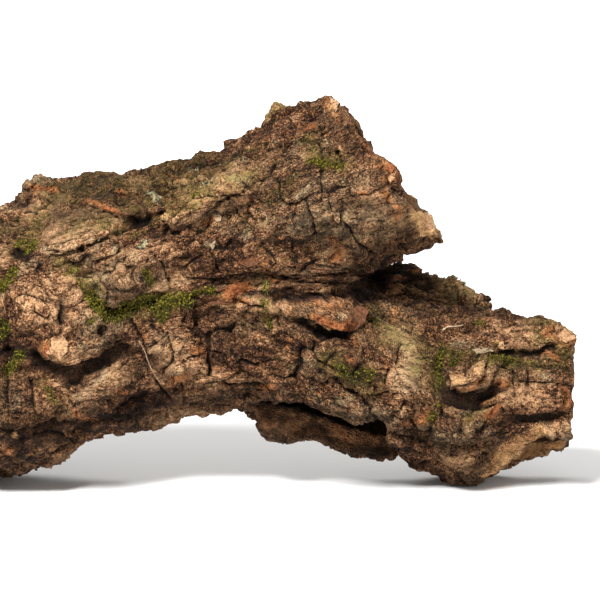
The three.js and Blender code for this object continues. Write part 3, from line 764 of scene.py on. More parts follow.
# Colours, growth and painted shade on the front, of each kind: how much, reach in pixels, and the
# pixels they follow. Calm isn't a colour: there the bark is smoother.
frontTints = {
    "rust": [
        (0.8, 3, "32,187 44,188 57,189"), (0.8, 2.2, "84,203 95,206 108,208 122,214"),
        (0.9, 2.4, "119,194 125,196"), (1.0, 5, "228,292 236,287 250,286"),
        (0.8, 3, "222,298 234,300 246,300"), (0.7, 4, "240,262 256,256 266,262"),
        (0.8, 3, "259,264 266,272 274,280"), (1.0, 4.5, "314,317 328,322 342,327 350,320"),
        (0.5, 8, "318,306 340,306"), (1.0, 4.5, "326,100 331,108 336,116 338,110"),
        (0.9, 2.2, "342,112 350,121 361,137 372,156"), (1.0, 7, "382,170 394,165 400,172 390,180"),
        (1.0, 3.2, "402,184 408,196 414,210"), (1.4, 6, "382,166 394,166 398,174 386,178"),
        (0.8, 5, "422,232 428,236"), (0.7, 4, "384,192 388,200 400,210"),
        (0.6, 7, "332,240 340,250 336,260"), (0.6, 5, "400,214 396,222"), (0.8, 2.4, "358,193 366,193"),
        (0.6, 3, "264,108 262,116"), (0.8, 2.6, "287,132 289,136"), (0.6, 4, "300,128 316,122"),
        (0.7, 2.4, "206,224 214,220"), (0.8, 2.4, "64,344 66,352"), (0.7, 4, "44,342 48,352"),
        (0.9, 3, "76,411 80,416 94,420"), (0.8, 3, "118,394 124,391"), (0.7, 3, "140,336 148,340"),
        (0.9, 5, "194,350 200,346 205,352"), (0.7, 6, "0,448 8,450"), (0.6, 6, "170,382 184,376"),
        (0.8, 3, "286,347 290,342"), (0.7, 5, "262,390 272,386"), (0.7, 4, "318,392 324,388"),
        (0.9, 3, "346,358 352,360"), (0.6, 5, "352,338 356,346"), (0.9, 2.4, "387,362 390,368"),
        (0.7, 4, "393,312 396,316"), (0.5, 5, "398,290 402,294"), (0.8, 4, "420,420 428,412"),
        (0.6, 5, "404,424 414,420"), (0.6, 3, "458,390 470,391 484,378"), (0.8, 4, "496,382 506,386"),
        (0.7, 6, "548,334 560,338 572,342"), (0.7, 4, "546,352 558,358"),
        (0.7, 6, "562,384 568,396 564,410"), (0.9, 3, "484,416 494,412 500,406"),
        (0.5, 8, "336,428 346,436"),
    ],
    "tan": [
        (1.8, 9, "421,218 428,226 430,234"), (0.9, 3, "384,164 398,164"),
        (0.8, 3, "405,188 412,200 415,212"), (0.8, 3, "327,102 334,112"),
        (1.0, 7, "54,344 61,347 60,352"), (0.9, 2.4, "14,434 15,436"), (0.9, 2.0, "147,371 148,372"),
        (0.5, 4, "452,378 464,381 476,374 482,360"), (0.9, 3, "499,343 503,348"),
        (0.8, 6, "562,332 574,336"), (1.0, 7, "494,468 502,454 520,444 540,430"),
        (0.7, 4, "484,476 494,470"), (0.6, 4, "152,196 158,204"),
    ],
    "pale": [
        (0.8, 4, "30,181 42,179 52,181"), (0.9, 4, "113,252 118,246"), (0.9, 3, "206,242 214,246"),
        (0.8, 3, "213,215 219,219"), (0.9, 3.5, "296,198 308,190"), (0.7, 6, "236,180 246,182"),
        (0.5, 9, "20,272 34,264"), (0.7, 6, "456,342 470,344"), (0.6, 9, "80,396 104,378"),
        (0.5, 8, "16,392 18,404"), (0.5, 26, "290,224 330,216 372,222"),
        (0.5, 18, "396,330 412,350 406,384"), (0.4, 14, "300,176 330,186 362,178"),
        (0.5, 9, "478,420 492,440"), (0.5, 8, "46,250 66,248"), (0.5, 7, "540,376 552,382"),
        (0.5, 10, "226,232 246,236"),
    ],
    "lichen": [
        (0.75, 6, "151,197 158,200 160,206"), (1.0, 3.5, "138,244 145,243"),
        (0.6, 3, "191,170 198,173"), (0.6, 3, "204,182 212,180"), (0.5, 3, "240,162 246,160"),
        (0.5, 3, "276,142 280,146"),
    ],
    "moss": [
        (1.0, 5, "0,286 8,280 14,272"), (0.8, 4, "68,273 78,268"), (0.7, 4, "80,282 84,292"),
        (1.0, 7, "90,298 98,308 110,316 122,314"), (1.0, 9, "124,310 142,302 160,301 186,300"),
        (0.9, 6, "156,308 163,318"), (0.8, 4, "196,292 212,290"), (0.7, 3, "88,324 92,320"),
        (0.8, 5, "146,274 150,282"), (1.0, 5, "0,334 8,326 2,322"), (0.9, 6, "8,374 14,360 20,354"),
        (0.7, 3, "192,196 200,194"), (0.8, 5, "312,158 324,164 342,166"), (0.5, 5, "312,150 309,164"),
        (0.4, 6, "372,316 378,328 370,338"), (0.4, 10, "336,366 356,378 372,372"),
        (0.7, 5, "442,350 440,366 440,382"), (0.6, 5, "452,362 462,356"),
        (0.5, 6, "488,356 510,360 530,362"), (0.6, 3, "476,326 484,324"), (0.6, 3, "494,346 498,344"),
        (0.6, 4, "262,302 270,304"), (0.6, 3, "266,282 267,292"), (0.5, 4, "266,318 272,326"),
        (0.5, 6, "20,244 26,252 34,244"), (0.4, 7, "436,404 430,420"), (0.4, 5, "48,392 56,402"),
    ],
    # Painted shade: darkens the crotch, creases, furrows, ledge feet and the trunk's top and belly
    "paintedShade": [
        (1.6, 13, "366,290 378,282 392,268"), (1.2, 10, "394,268 410,276 430,284"),
        (0.9, 12, "350,452 372,454 396,452"), (0.8, 7, "262,402 290,402 320,412"),
        (1.0, 6, "448,390 462,400 482,394 496,384"), (0.9, 5, "152,236 170,232 190,222 210,210"),
        (0.8, 7, "74,374 98,362 120,352"), (0.8, 4, "300,322 330,336 352,330"),
        (0.9, 5, "236,292 270,294 292,290"), (0.7, 9, "476,312 500,316 530,320"),
        (0.6, 8, "16,426 40,424 62,424"), (0.5, 14, "400,286 440,304 480,318"),
        (0.6, 9, "20,200 30,204"), (0.6, 22, "60,212 92,206 120,208"),
        (0.5, 26, "60,190 130,184 196,172"), (0.4, 20, "214,340 250,350 280,360"),
        (0.7, 22, "266,420 300,424 340,432"), (0.8, 24, "10,440 60,432 110,416 170,400"),
        (1.8, 4.5, "444,380 447,392 460,404 480,402 496,388"),
        (1.9, 5.5, "34,358 46,366 60,373 74,375 88,369 102,361 124,352"),
        (1.6, 3.2, "236,292 252,294 272,294 292,291"),
        (1.7, 3.4, "298,322 312,329 326,335 342,336 356,330"), (1.7, 7, "14,252 26,254"),
        (1.8, 5.5, "133,222 148,219"), (1.3, 6, "16,200 28,200"), (2.0, 9, "366,284 378,276 390,266"),
        (1.8, 3.2, "500,424 512,420 530,419 551,418"),
        (1.4, 2.6, "492,352 504,354 520,356 537,352 556,348"),
        (2.0, 4, "256,404 280,406 300,409 330,420 350,428"), (1.4, 7, "0,352 20,348 32,356"),
        (1.2, 4, "60,300 64,312 61,322"), (1.2, 3, "207,328 209,345 208,360 210,376"),
        (1.2, 3.4, "302,345 299,355 299,366 296,376"),
        (1.0, 5, "276,300 290,298 312,298 332,295 352,291 368,286"),
        (0.4, 14, "100,336 130,344 180,336"), (0.4, 12, "300,284 350,282"),
    ],
    "lines": [
        (0.9, 14, "396,330 412,350 404,380"), (1.0, 16, "58,236 84,230 112,222"),
        (0.8, 14, "28,206 44,208 60,200"), (0.8, 20, "372,216 396,214"), (0.8, 12, "318,300 344,306"),
        (0.9, 10, "456,380 470,384 484,370"), (0.6, 16, "30,296 50,310"), (0.7, 14, "170,222 206,214"),
        (0.7, 16, "504,332 540,338"), (0.7, 18, "508,396 544,396"), (0.6, 16, "86,392 110,380"),
    ],
    "algae": [
        (0.8, 15, "388,330 420,346 428,372"), (0.7, 26, "60,190 130,184 196,172"),
        (0.9, 9, "376,312 388,326 384,342"), (0.8, 16, "330,362 352,376 372,384"),
        (0.9, 8, "444,344 441,366 438,392"), (0.9, 9, "452,356 466,352"),
        (0.8, 9, "478,358 506,364 536,366"), (0.7, 9, "414,372 420,356 430,346"),
        (0.7, 14, "14,250 30,232 40,214"), (0.6, 16, "50,200 90,188 130,186"),
        (0.8, 10, "60,262 84,276 96,292"), (0.7, 10, "110,316 150,314 190,300"),
        (0.7, 14, "170,190 210,190 250,176"), (0.8, 12, "308,140 318,156 344,164"),
        (0.6, 10, "272,204 282,190 296,178"), (0.6, 10, "262,272 264,300 268,320"),
        (0.5, 12, "44,386 58,398 64,410"), (0.6, 10, "468,416 486,404"), (0.6, 8, "436,408 430,424"),
    ],
    "calm": [
        (1.0, 16, "58,238 84,230 112,220"), (1.0, 9, "58,346 62,350"),
        (1.0, 13, "456,378 470,382 484,366"), (0.9, 16, "384,340 408,352 424,380"),
        (0.9, 12, "498,462 520,446 542,432"), (0.8, 22, "370,214 396,216"),
        (0.8, 14, "242,228 252,238"), (0.8, 14, "510,396 544,398"), (0.8, 10, "504,334 540,336"),
        (0.8, 14, "84,394 112,376"), (0.7, 12, "120,284 136,284"), (0.8, 10, "320,308 344,312"),
        (0.7, 12, "352,180 372,176"), (0.7, 10, "464,344 480,350"),
    ],
}
tintNames = ("rust", "tan", "pale", "lichen", "moss", "paintedShade", "lines", "algae")
tintRules = {
    "far": 2.5,  # reaches from a line at which nothing is left of it
    "ragged": 0.7,
    "raggedSize": 2.6,  # mm
    "warp": 1.2,  # pixels that they wander
}
# What growth and breaks follow by chance: the bark's own coordinates or the plain ones, sizes
# in mm, and a seed.
tintNoises = {
    "wide": ("grain", (34, 26, 26), 101),
    "close": ("grain", (9, 6, 6), 102),
    "moss": ("grain", (40, 28, 28), 103),
    "lichen": ("plain", (20, 20, 20), 104),
    "spots": ("plain", (4, 4, 4), 105),
    "lines": ("grain", (30, 20, 20), 107),
    "algae": ("grain", (36, 26, 26), 108),
}


def painted(pixels, wanted):  # how much of one kind the front has
    amounts = np.zeros(len(pixels))
    for amount, reach, text in frontTints[wanted]:
        path = pathOf(text)
        chosen = nearBox(pixels, path, reach * tintRules["far"])
        gap, _, _ = nearPath(pixels[chosen], path)
        amounts[chosen] = np.maximum(amounts[chosen], amount * bell(gap, reach))
    return amounts


def tintChannels(pixels, points, grain, skin, hollow):
    tints = {name: painted(pixels, name) * skin["seen"] for name in tintNames}
    # The same growth, breaks and painted shade by chance, with moss and lichen on the back alone
    places = {"grain": grain, "plain": points}
    by = {name: noise(places[kind], size, seed) for name, (kind, size, seed) in tintNoises.items()}
    faceUp = smoothStep(-0.2, 0.8, skin["up"])
    grown = faceUp * skin["hidden"]
    chanced = {
        "rust": 0.6 * smoothStep(0.3, 0.9, -hollow) * smoothStep(0.2, 0.6, by["close"]),
        "lines": 0.8 * smoothStep(0.1, 0.5, by["lines"]),
        "pale": 0.45 * smoothStep(0.2, 0.7, by["wide"] - 0.3 * by["close"]),
        "algae": smoothStep(0.0, 0.6, by["algae"] + 0.3 * hollow) * (0.25 + 0.6 * faceUp),
        # painted shade on faces that turn down, darker the more they face down
        "paintedShade": 0.55 * smoothStep(0.3, -0.7, skin["up"]),
        "moss": grown * smoothStep(0.25, 0.6, by["moss"] + 0.5 * hollow)
        * smoothStep(-0.1, 0.4, by["close"]),
        "lichen": grown * 0.8 * smoothStep(0.5, 0.75, by["lichen"]) * smoothStep(0, 0.5, by["spots"]),
    }
    for name, amounts in chanced.items():
        tints[name] = np.maximum(tints[name], amounts)
    ragged = 1 + tintRules["ragged"] * noise(points, (tintRules["raggedSize"],) * 3, 106)
    for name in tintNames:  # only the painted shade shows inside
        shown = 1 if name == "paintedShade" else 1 - skin["inner"]
        tints[name] = np.clip(tints[name] * ragged * shown, 0, 1)
    return tints


finish = {
    "triangles": 194000,
    "spare": (1.0, 0.25, 0.06),  # how freely the inside, the outside and the front are thinned
    "spareStrength": 0.05,  # mm of error that thinning costs more where it is least free
    "hollowSize": 10,  # rounds of averaging for what counts as a hollow
    "hollowDepth": 1.4,  # mm below its surroundings at which a place is fully a hollow
    "pastBox": 2,  # mm that relief may stand out of the solid's box
}


# Thins the dense surface, most where nobody looks. Its points are in mm meanwhile, as the
# costs of thinning are.
def thinned(dense, freedom):
    holder = linked("working", dense)
    group = holder.vertex_groups.new(name="thin")
    steps = np.round(freedom * 20).astype(int)
    for step in np.unique(steps):
        group.add(np.flatnonzero(steps == step).tolist(), max(int(step), 1) / 20, "REPLACE")
    modifier = holder.modifiers.new("thin", "DECIMATE")
    modifier.ratio = finish["triangles"] / (2 * len(dense.polygons))
    modifier.vertex_group = "thin"
    modifier.vertex_group_factor = finish["spareStrength"]
    mesh = settled(holder)
    points = arrayOf(mesh.vertices, "co", 3) / 1000
    points[:, 2] = np.maximum(points[:, 2], 0)
    mesh.vertices.foreach_set("co", points.ravel())
    mesh.update()
    return mesh


def makeBark():
    made, edges = grownSurface()
    points = arrayOf(made.vertices, "co", 3) * 1000
    normals = blurred(arrayOf(made.vertices, "normal", 3), edges, 3)
    normals /= np.linalg.norm(normals, axis=1)[:, None]
    grain, skin = layOut(points, normals)
    pixels = pixelsOf(points)
    warp = noiseVector(points, (marks["warpSize"],) * 3, 111)[:, :2]
    height = grownRelief(grain) * skin["outer"]
    height *= 1 - (1 - relief["calmShare"]) * painted(pixels, "calm") * skin["seen"]
    height += growthLines(grain) * painted(pixels, "lines") * skin["front"]
    height += innerRelief(grain) * skin["inner"]
    height += brokenRelief(grain, points) * skin["broken"]
    onFront = skin["front"] * skin["outer"]
    height += markRelief(pixels + marks["warp"] * warp, onFront)
    height += crestRelief(treeOf(made), points) * skin["outer"]
    deep = (height < -relief["shallow"]) & (skin["outer"] > 0.1)
    limit = barkUnder(made, points, normals, deep)
    height = np.maximum(height, -np.maximum(limit - relief["rest"], 0) * relief["deepestShare"])
    print("relief from", round(float(height.min()), 1), "to", round(float(height.max()), 1), "mm")

    mean = blurred(height, edges, finish["hollowSize"])
    hollow = np.clip((mean - height) / finish["hollowDepth"], -1, 1)
    tints = tintChannels(pixels + tintRules["warp"] * warp, points, grain, skin, hollow)
    moved = points + normals * height[:, None]
    past = finish["pastBox"]
    moved = np.clip(moved, np.array(cadLow) * 1000 - past, np.array(cadHigh) * 1000 + past)
    moved[:, 2] = np.maximum(moved[:, 2], 0)
    made.vertices.foreach_set("co", moved.ravel())
    channels = dict(tints, hollow=hollow, inner=skin["inner"], broken=skin["broken"])
    for name, values in channels.items():
        storeAt(made, name, values)
    storeAt(made, "grain", grain, "FLOAT_VECTOR", "vector")
    inside, outside, front = finish["spare"]
    freedom = inside + (outside - inside) * skin["outer"] + (front - outside) * onFront
    final = thinned(made, freedom)
    print("bark:", len(final.polygons), "faces")
    piece = showMesh("bark", final, corkBark())
    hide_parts("cork_bark_tube")
    return piece


def colour(text):  # an sRGB hex value as linear red, green, blue and alpha
    channels = [int(text[start:start + 2], 16) / 255 for start in (0, 2, 4)]
    linear = [c / 12.92 if c <= 0.04045 else ((c + 0.055) / 1.055) ** 2.4 for c in channels]
    return (*linear, 1)


# Adds a shader node with its settings, links and colour stops, and gives back one of its
# outputs. Sockets come in order, or by number or name.
def addNode(tree, kind, sockets=(), output=0, stops=(), **settings):
    node = tree.nodes.new("ShaderNode" + kind)
    for name, value in settings.items():
        setattr(node, name, value)
    for socket, value in sockets.items() if isinstance(sockets, dict) else enumerate(sockets):
        if isinstance(value, bpy.types.NodeSocket):
            tree.links.new(value, node.inputs[socket])
        else:
            node.inputs[socket].default_value = value
    if stops:
        ramp = node.color_ramp.elements
        ramp[0].position, ramp[0].color = stops[0]
        ramp[1].position, ramp[1].color = stops[-1]
        for place, shade in stops[1:-1]:
            ramp.new(place).color = shade
    return node.outputs[output]


def startMaterial(name, sockets):
    material = bpy.data.materials.new(name)
    material.use_nodes = True
    tree = material.node_tree
    shader = tree.nodes["Principled BSDF"]
    for socket, value in sockets.items():
        shader.inputs[socket].default_value = value
    return material, functools.partial(addNode, tree), shader


def finishMaterial(material, shader, shown, raised=None, millimetres=0):
    links = material.node_tree.links
    links.new(shown, shader.inputs["Base Color"])
    if raised is not None:
        sockets = {"Height": raised, "Strength": 1.0, "Distance": millimetres / 1000}
        links.new(addNode(material.node_tree, "Bump", sockets), shader.inputs["Normal"])
    return material


# Cork bark: dead outer bark in thin layers, dry and fully matt. It weathers grey-brown and breaks to
# fresh orange cork, and it is crumbly down to half a millimetre. Shade is painted into its cracks,
# hollows, creases and downward faces.
corkLooks = {
    "weathered": ("140b05", "482c1a", "8e6140", "e0b082"),  # from its dark to its light grains
    "grey": ("241910", "b49068"),
    # near-black painted shade for the cracks between chips and for hollows
    "creviceShade": "0b0603",
    "rust": ("4a2615", "c98450"),
    "tan": ("84502a", "f0bd84"),
    "pale": ("4a3625", "d8b88c"),
    "lichen": ("6a6444", "cfc59c"),
    "moss": ("2a270b", "76701f"),
    "algae": ("1d1a07", "8a7c38"),
    # painted shade, from its dark to its light
    "paintedShade": ("0e0704", "3c281b"),
    "inner": ("21140b", "6a4c33"),
    "broken": ("5a3620", "bd8a5b"),
    "layers": [  # what covers what, from how much of it, and over how wide a range
        ("inner", 0.4, 0.2), ("broken", 0.35, 0.25), ("pale", 0.25, 0.6), ("algae", 0.2, 1.1),
        ("paintedShade", 0.2, 0.8), ("rust", 0.25, 0.5), ("tan", 0.25, 0.35), ("lichen", 0.35, 0.3),
        ("moss", 0.25, 0.6),
    ],
    "patchMm": 26,
    "mottleMm": 5,
    "strandMm": 1.0,
    "ribMm": 1.8,
    "chipMm": 6,
    "crumbMm": 2.0,
    "speckMm": 0.7,
    "grainMm": 0.6,
    "bumpMm": 2.5,
}


def corkBark():
    looks = corkLooks
    material, add, shader = startMaterial("corkBark", {"Roughness": 0.95, "Specular IOR Level": 0.15})
    given = {
        name: add("Attribute", output="Fac", attribute_name=name)
        for name in (*tintNames, "hollow", "inner", "broken")
    }
    inMm = add("VectorMath", (add("TexCoord", output="Object"), (1000, 1000, 1000)), operation="MULTIPLY")
    grain = add("Attribute", output="Vector", attribute_name="grain")
    along = add("VectorMath", (grain, (0.5, 1, 1)), operation="MULTIPLY")
    thin = add("VectorMath", (along, (0.2, 1, 1)), operation="MULTIPLY")
    ringed = add("VectorMath", (inMm, (1, 0.12, 0.12)), operation="MULTIPLY")

    # Noise of each size: its coordinates, size in mm, detail and roughness
    noises = {}
    for name, place, size, detail, rough in (
        ("patch", along, looks["patchMm"], 3, 0.6),
        ("mottle", along, looks["mottleMm"], 6, 0.7),
        ("fine", along, looks["grainMm"], 2, 0.6),
        ("strand", thin, looks["strandMm"], 4, 0.7),
        ("rib", ringed, looks["ribMm"], 3, 0.7),
    ):
        sockets = {"Vector": place, "Scale": 1 / size, "Detail": detail, "Roughness": rough}
        noises[name] = add("TexNoise", sockets, "Fac")
    bend = add("TexNoise", {"Vector": inMm, "Scale": 1 / 3, "Detail": 2, "Roughness": 0.6}, "Color")
    bent = add("VectorMath", (bend, (2.4,) * 3, inMm), operation="MULTIPLY_ADD")
    bentAlong = add("VectorMath", (bend, (3.0,) * 3, along), operation="MULTIPLY_ADD")

    # Cells of each size: a number for each cell, and the distance to its middle or edge
    numbers, gaps = {}, {}
    for name, place, size, feature in (
        ("crumb", bent, looks["crumbMm"], "F1"),
        ("speck", inMm, looks["speckMm"], "F1"),
        ("chip", bentAlong, looks["chipMm"], "F1"),
        ("seam", bentAlong, looks["chipMm"], "DISTANCE_TO_EDGE"),
    ):
        sockets = {"Vector": place, "Scale": 1 / size, "Randomness": 1}
        gaps[name] = add("TexVoronoi", sockets, "Distance", feature=feature)
        numbers[name] = gaps[name].node.outputs.get("Color")

    # Growth lines outside, and lines that run round the tube inside
    lined = add("Math", (given["lines"], 0.6, 0.4), operation="MULTIPLY_ADD")
    outer = add("Math", (noises["strand"], lined), operation="MULTIPLY")
    lines = add("Mix", {0: given["inner"], 2: outer, 3: noises["rib"]})

    # How light a grain of bark is
    tone = 0.0
    for value, weight in (
        (noises["mottle"], 0.6),
        (add("MapRange", (numbers["speck"], 0.15, 0.85)), 0.2),
        (add("MapRange", (numbers["crumb"], 0.1, 0.9)), 0.1),
        (add("MapRange", (numbers["chip"], 0.1, 0.9)), 0.16),
        (add("MapRange", (noises["fine"], 0.3, 0.7)), 0.38),
        (lines, 0.95),
    ):
        tone = add("Math", (value, weight, tone), operation="MULTIPLY_ADD")
    tone = add("MapRange", (tone, 0.7, 1.2))
    stops = list(zip((0, 0.33, 0.66, 1), map(colour, looks["weathered"])))
    shown = add("ValToRGB", (tone,), stops=stops)

    # What grows on it, where it broke, and painted shade, each from its dark to its light with the
    # same grain
    shares = [
        ("grey", add("MapRange", (noises["patch"], 0.46, 0.66, 0, 0.6))),
        ("rust", add("MapRange", (numbers["crumb"], 0.62, 0.75, 0, 0.22))),
    ]
    uneven = add("Math", (noises["fine"], -0.5), operation="ADD")
    for name, start, width in looks["layers"]:
        rough = add("Math", (uneven, 1.1, given[name]), operation="MULTIPLY_ADD")
        shares.append((name, add("MapRange", (rough, start, start + width))))
    for name, share in shares:
        dark, light = looks[name]
        grown = add("Mix", {0: tone, 6: colour(dark), 7: colour(light)}, 2, data_type="RGBA")
        shown = add("Mix", {0: share, 6: shown, 7: grown}, 2, data_type="RGBA")

    # Painted shade: the cracks between chips, in patches, and the hollows go towards near-black
    seam = add("MapRange", (gaps["seam"], 0.05, 0.0))
    patchy = add("MapRange", (noises["patch"], 0.4, 0.6, 0.9, 0.15))
    seam = add("Math", (seam, patchy), operation="MULTIPLY")
    hollow = add("MapRange", (given["hollow"], 0.0, 0.75, 0, 0.88))
    for share in (seam, hollow):
        shown = add("Mix", {0: share, 6: shown, 7: colour(looks["creviceShade"])}, 2, data_type="RGBA")

    raised = noises["fine"]
    for value, weight in (
        (add("MapRange", (gaps["crumb"], 0.8, 0.1)), 0.35),
        (add("MapRange", (gaps["speck"], 0.7, 0.1)), 0.5),
        (noises["mottle"], 1.3),
        (lines, 0.9),
        (add("MapRange", (gaps["seam"], 0.0, 0.09)), 0.35),
    ):
        raised = add("Math", (value, weight, raised), operation="MULTIPLY_ADD")
    return finishMaterial(material, shader, shown, raised, looks["bumpMm"])


# Moss: cushions of leafy shoots a few millimetres tall, dark at the foot and yellow-green at
# the tips.
moss = {
    "shoots": 6200,
    "heightMm": (0.7, 2.1),
    "radiusMm": 0.22,
    "leaves": 6,
    "leafMm": 0.75,
    "foot": "241f09",
    "middle": "575012",
    "tip": "a89a2c",
    "brightness": (0.3, 0.4, 0.55, 0.75, 1.0, 1.4),  # one kind of shoot for each
    "enough": 0.4,  # of the moss colour, for shoots to stand there
    "spread": 0.45,  # how far they lean each way
    "sizes": (0.7, 1.15),
    "seed": 8,
}


def mossShoot(height, bright):
    shape = bmesh.new()
    radius = moss["radiusMm"]
    stem = bmesh.ops.create_cone(shape, cap_ends=True, segments=3, radius1=radius, radius2=0, depth=height)
    bmesh.ops.translate(shape, verts=stem["verts"], vec=(0, 0, height / 2 - 0.3))
    for leaf in range(moss["leaves"]):
        share = (leaf + 0.6) / moss["leaves"]
        length = moss["leafMm"] * (1.1 - 0.5 * share)
        made = bmesh.ops.create_cone(shape, cap_ends=True, segments=3, radius1=0.2, radius2=0, depth=length)
        turn = Matrix.Rotation(leaf * 2.4, 4, "Z") @ Matrix.Rotation(math.radians(50), 4, "Y")
        lift = Matrix.Translation((0, 0, share * height * 0.85)) @ turn
        bmesh.ops.transform(shape, verts=made["verts"], matrix=lift @ Matrix.Translation((0, 0, length / 2)))
    mesh = meshOf(shape)
    heights = arrayOf(mesh.vertices, "co", 3)[:, 2] / height
    storeAt(mesh, "rise", np.clip(heights * bright, 0, 1))
    return mesh


def mossGreen():
    material, add, shader = startMaterial("mossGreen", {"Roughness": 0.8, "Specular IOR Level": 0.25})
    rise = add("Attribute", output="Fac", attribute_name="rise")
    shades = [colour(moss[name]) for name in ("foot", "middle", "tip")]
    return finishMaterial(material, shader, add("ValToRGB", (rise,), stops=list(zip((0, 0.5, 1), shades))))


def makeMoss(bark):
    dice = random.Random(moss["seed"])
    mesh = bark.data
    amount = arrayOf(mesh.attributes["moss"].data, "value", 1)[:, 0]
    places = arrayOf(mesh.vertices, "co", 3)
    normals = arrayOf(mesh.vertices, "normal", 3)
    mossy = np.flatnonzero(amount > moss["enough"])
    weights = amount[mossy]
    kinds = [mossShoot(dice.uniform(*moss["heightMm"]), bright) for bright in moss["brightness"]]
    spread = moss["spread"]
    whole = bmesh.new()
    for pick in dice.choices(range(len(mossy)), weights=weights.tolist(), k=moss["shoots"]):
        index = int(mossy[pick])
        way = Vector(normals[index]) * 0.8 + Vector((0, -0.15, 0.6))
        way += Vector([dice.uniform(-spread, spread) for _ in range(3)])
        turn = way.to_track_quat("Z", "Y").to_matrix().to_4x4()
        jitter = Vector([dice.uniform(-0.5, 0.5) / 1000 for _ in range(3)])
        one = dice.choice(kinds).copy()
        size = 0.001 * dice.uniform(*moss["sizes"])
        place = Matrix.Translation(Vector(places[index]) + jitter)
        twist = Matrix.Rotation(dice.uniform(0, 6.28), 4, "Z")
        one.transform(place @ turn @ twist @ Matrix.Scale(size, 4))
        whole.from_mesh(one)
        bpy.data.meshes.remove(one)
    joined = meshOf(whole, "moss")
    showMesh("moss", joined, mossGreen())
    print("moss:", len(joined.polygons), "faces")


# Flakes of fresh cork that stand off the bark, of each colour: the way the free edge looks,
# how far it lifts and how thick it is in mm, and its outline in pixels.
flakes = {
    "peach": [
        (300, 2.4, 0.8, "51,333 56,337 63,336 69,340 67,352 60,359 54,354 47,352 53,346"),
        (300, 1.4, 0.8, "497,340 501,338 505,346 503,350 498,347"),
        (300, 1.0, 1.0, "386,174 396,172 392,182 388,180"),
        (340, 1.4, 1.4, "416,218 424,212 434,214 436,228 428,234 424,228"),
        (320, 1.2, 1.0, "328,98 338,104 336,112 332,106"),
        (0, 1.6, 1.6, "548,328 560,326 572,331 577,338 566,342 554,338"),
    ],
    "orange": [
        (200, 1.2, 0.7, "46,340 51,342 52,350 46,353 42,350"),
        (250, 2.6, 1.2, "224,294 230,286 240,282 252,285 257,290 246,291 236,297 228,298"),
        (285, 3.0, 1.2, "318,314 330,320 344,324 357,321 352,331 341,330 331,328 322,324 312,318"),
        (320, 1.4, 1.2, "382,160 398,162 402,168 396,168 392,172 384,168"),
        (270, 1.0, 0.8, "88,203 98,203 112,207 121,214 112,213 98,209"),
        (280, 1.0, 0.8, "122,392 127,389 129,394 124,397"),
        (290, 1.4, 1.0, "484,414 496,408 503,402 500,412 490,420"),
    ],
    "brown": [
        (270, 1.2, 1.0, "200,300 208,295 224,298 240,300 232,305 214,306"),
        (310, 2.2, 0.9, "344,310 352,306 360,306 369,311 366,322 358,330 349,331 351,321"),
        (280, 1.0, 0.8, "236,262 246,256 258,256 262,262 248,268"),
    ],
    "pale": [
        (300, 0.9, 0.6, "206,241 214,238 217,244 211,250"),
        (280, 0.7, 0.6, "214,216 219,215 220,220 215,221"),
        (270, 1.6, 0.9, "473,349 480,346 490,347 494,351 484,354 476,353"),
    ],
}
freshCork = {"peach": "d8a87c", "orange": "a9673e", "brown": "7a5138", "pale": "b89f7e"}
flakeRules = {"sinkAtHinge": 0.6, "wobble": 1.3, "ragged": 0.8, "seed": 12}


# Fresh cork: pale and pinkish where it broke lately, crumbly like a cut stopper.
def corkFlake(name, text):
    material, add, shader = startMaterial(name + "Cork", {"Roughness": 0.93, "Specular IOR Level": 0.15})
    place = add("TexCoord", output="Object")
    grain = add("TexNoise", {"Vector": place, "Scale": 620, "Detail": 6, "Roughness": 0.8}, "Fac")
    light = colour(text)
    dark = (*[part * 0.12 for part in light[:3]], 1)
    shown = add("ValToRGB", (grain,), stops=[(0.34, dark), (0.56, light)])
    return finishMaterial(material, shader, shown, grain, 2.2)


def makeFlakes(tree):
    dice = random.Random(flakeRules["seed"])
    for name, text in freshCork.items():
        whole = bmesh.new()
        addFrontPlates(whole, tree, flakes[name], flakeRules, dice)
        mesh = meshOf(whole, name + "Flakes")
        showMesh(name + "Flakes", mesh, corkFlake(name, text))
        mesh.shade_flat()
    print("flakes:", sum(map(len, flakes.values())))


# Litter caught on the bark: radius in mm at both ends, how far it stands off, its colour, and
# its line in pixels.
litter = {
    "needle": ((0.45, 0.3), 0.9, "9a7a5c", "139,341 145,350 148,362 154,374 161,384"),
    "rootFibre": ((0.55, 0.3), 1.0, "b59c7c", "443,330 447,326 455,327 463,325"),
    "grassBlade": ((0.3, 0.2), 1.4, "6f7a22", "267,281 266,288 268,295"),
}


def dryPlant(name, text):  # dry needles and root hairs: smooth, a little sheen, streaked
    material, add, shader = startMaterial(name, {"Roughness": 0.65, "Specular IOR Level": 0.35})
    streaks = add("TexNoise", {"Vector": add("TexCoord", output="Object"), "Scale": 900, "Detail": 4}, "Fac")
    light = colour(text)
    dark = (*[part * 0.35 for part in light[:3]], 1)
    return finishMaterial(material, shader, add("ValToRGB", (streaks,), stops=[(0.3, dark), (0.6, light)]))


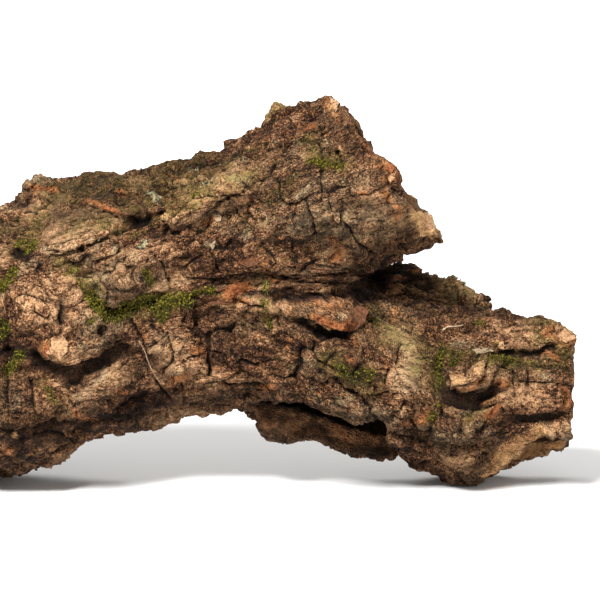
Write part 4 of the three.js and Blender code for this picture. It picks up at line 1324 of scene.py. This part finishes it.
def makeLitter(tree):
    for name, (radii, off, shade, text) in litter.items():
        path = pathOf(text)
        curve = bpy.data.curves.new(name, "CURVE")
        curve.dimensions = "3D"
        curve.bevel_depth = 0.001
        curve.bevel_resolution = 2
        curve.use_fill_caps = True
        line = curve.splines.new("NURBS")
        line.points.add(len(path) - 1)
        line.use_endpoint_u = True
        line.order_u = 3
        for index, (x, y) in enumerate(path):
            place = castAt(tree, x, y)
            place += Vector(backward) * off / 1000
            line.points[index].co = (*place, 1)
            share = index / (len(path) - 1)
            line.points[index].radius = radii[0] + (radii[1] - radii[0]) * share
        mesh = settled(linked("working", curve))
        mesh.materials.clear()
        showMesh(name, mesh, dryPlant(name, shade))
    print("litter:", len(litter), "pieces")


# A white studio: a wide floor, a broad light above the front, a weak fill, and a light on the
# floor behind.
studio = {
    "floor": "f6f5f3",
    "floorSize": 24,  # m
    "world": 0.38,
    "lights": {
        "key": {"place": (-0.45, -0.95, 1.3), "size": 0.5, "watts": 60},
        "fill": {"place": (1.3, -1.4, 0.6), "size": 1.2, "watts": 7},
        "backdrop": {"place": (0, 3.2, 2.6), "size": 3, "watts": 260, "aim": (0, 4.2, 0)},
    },
}


def makeStudio():
    shape = bmesh.new()
    bmesh.ops.create_grid(shape, x_segments=1, y_segments=1, size=studio["floorSize"] / 2)
    floor = linked("floor", meshOf(shape, "floor"))
    paper, _, _ = startMaterial("paper", {"Base Color": colour(studio["floor"]), "Roughness": 0.9})
    floor.data.materials.append(paper)

    world = bpy.data.worlds.new("studio")
    world.use_nodes = True
    sky = world.node_tree.nodes["Background"].inputs
    sky["Color"].default_value = (1, 1, 1, 1)
    sky["Strength"].default_value = studio["world"]
    bpy.context.scene.world = world
    for name, values in studio["lights"].items():
        light = bpy.data.lights.new(name, "AREA")
        light.size = values["size"]
        light.energy = values["watts"]
        place = Vector(values["place"])
        turnTo(linked(name, light), place, Vector(values.get("aim", aimPoint / 1000)) - place)
    bpy.context.scene.view_settings.view_transform = "Standard"


makeCamera()
bark = makeBark()
makeMoss(bark)
barkTree = treeOf(bark.data)
makeFlakes(barkTree)
makeLitter(barkTree)
makeStudio()

print("done")
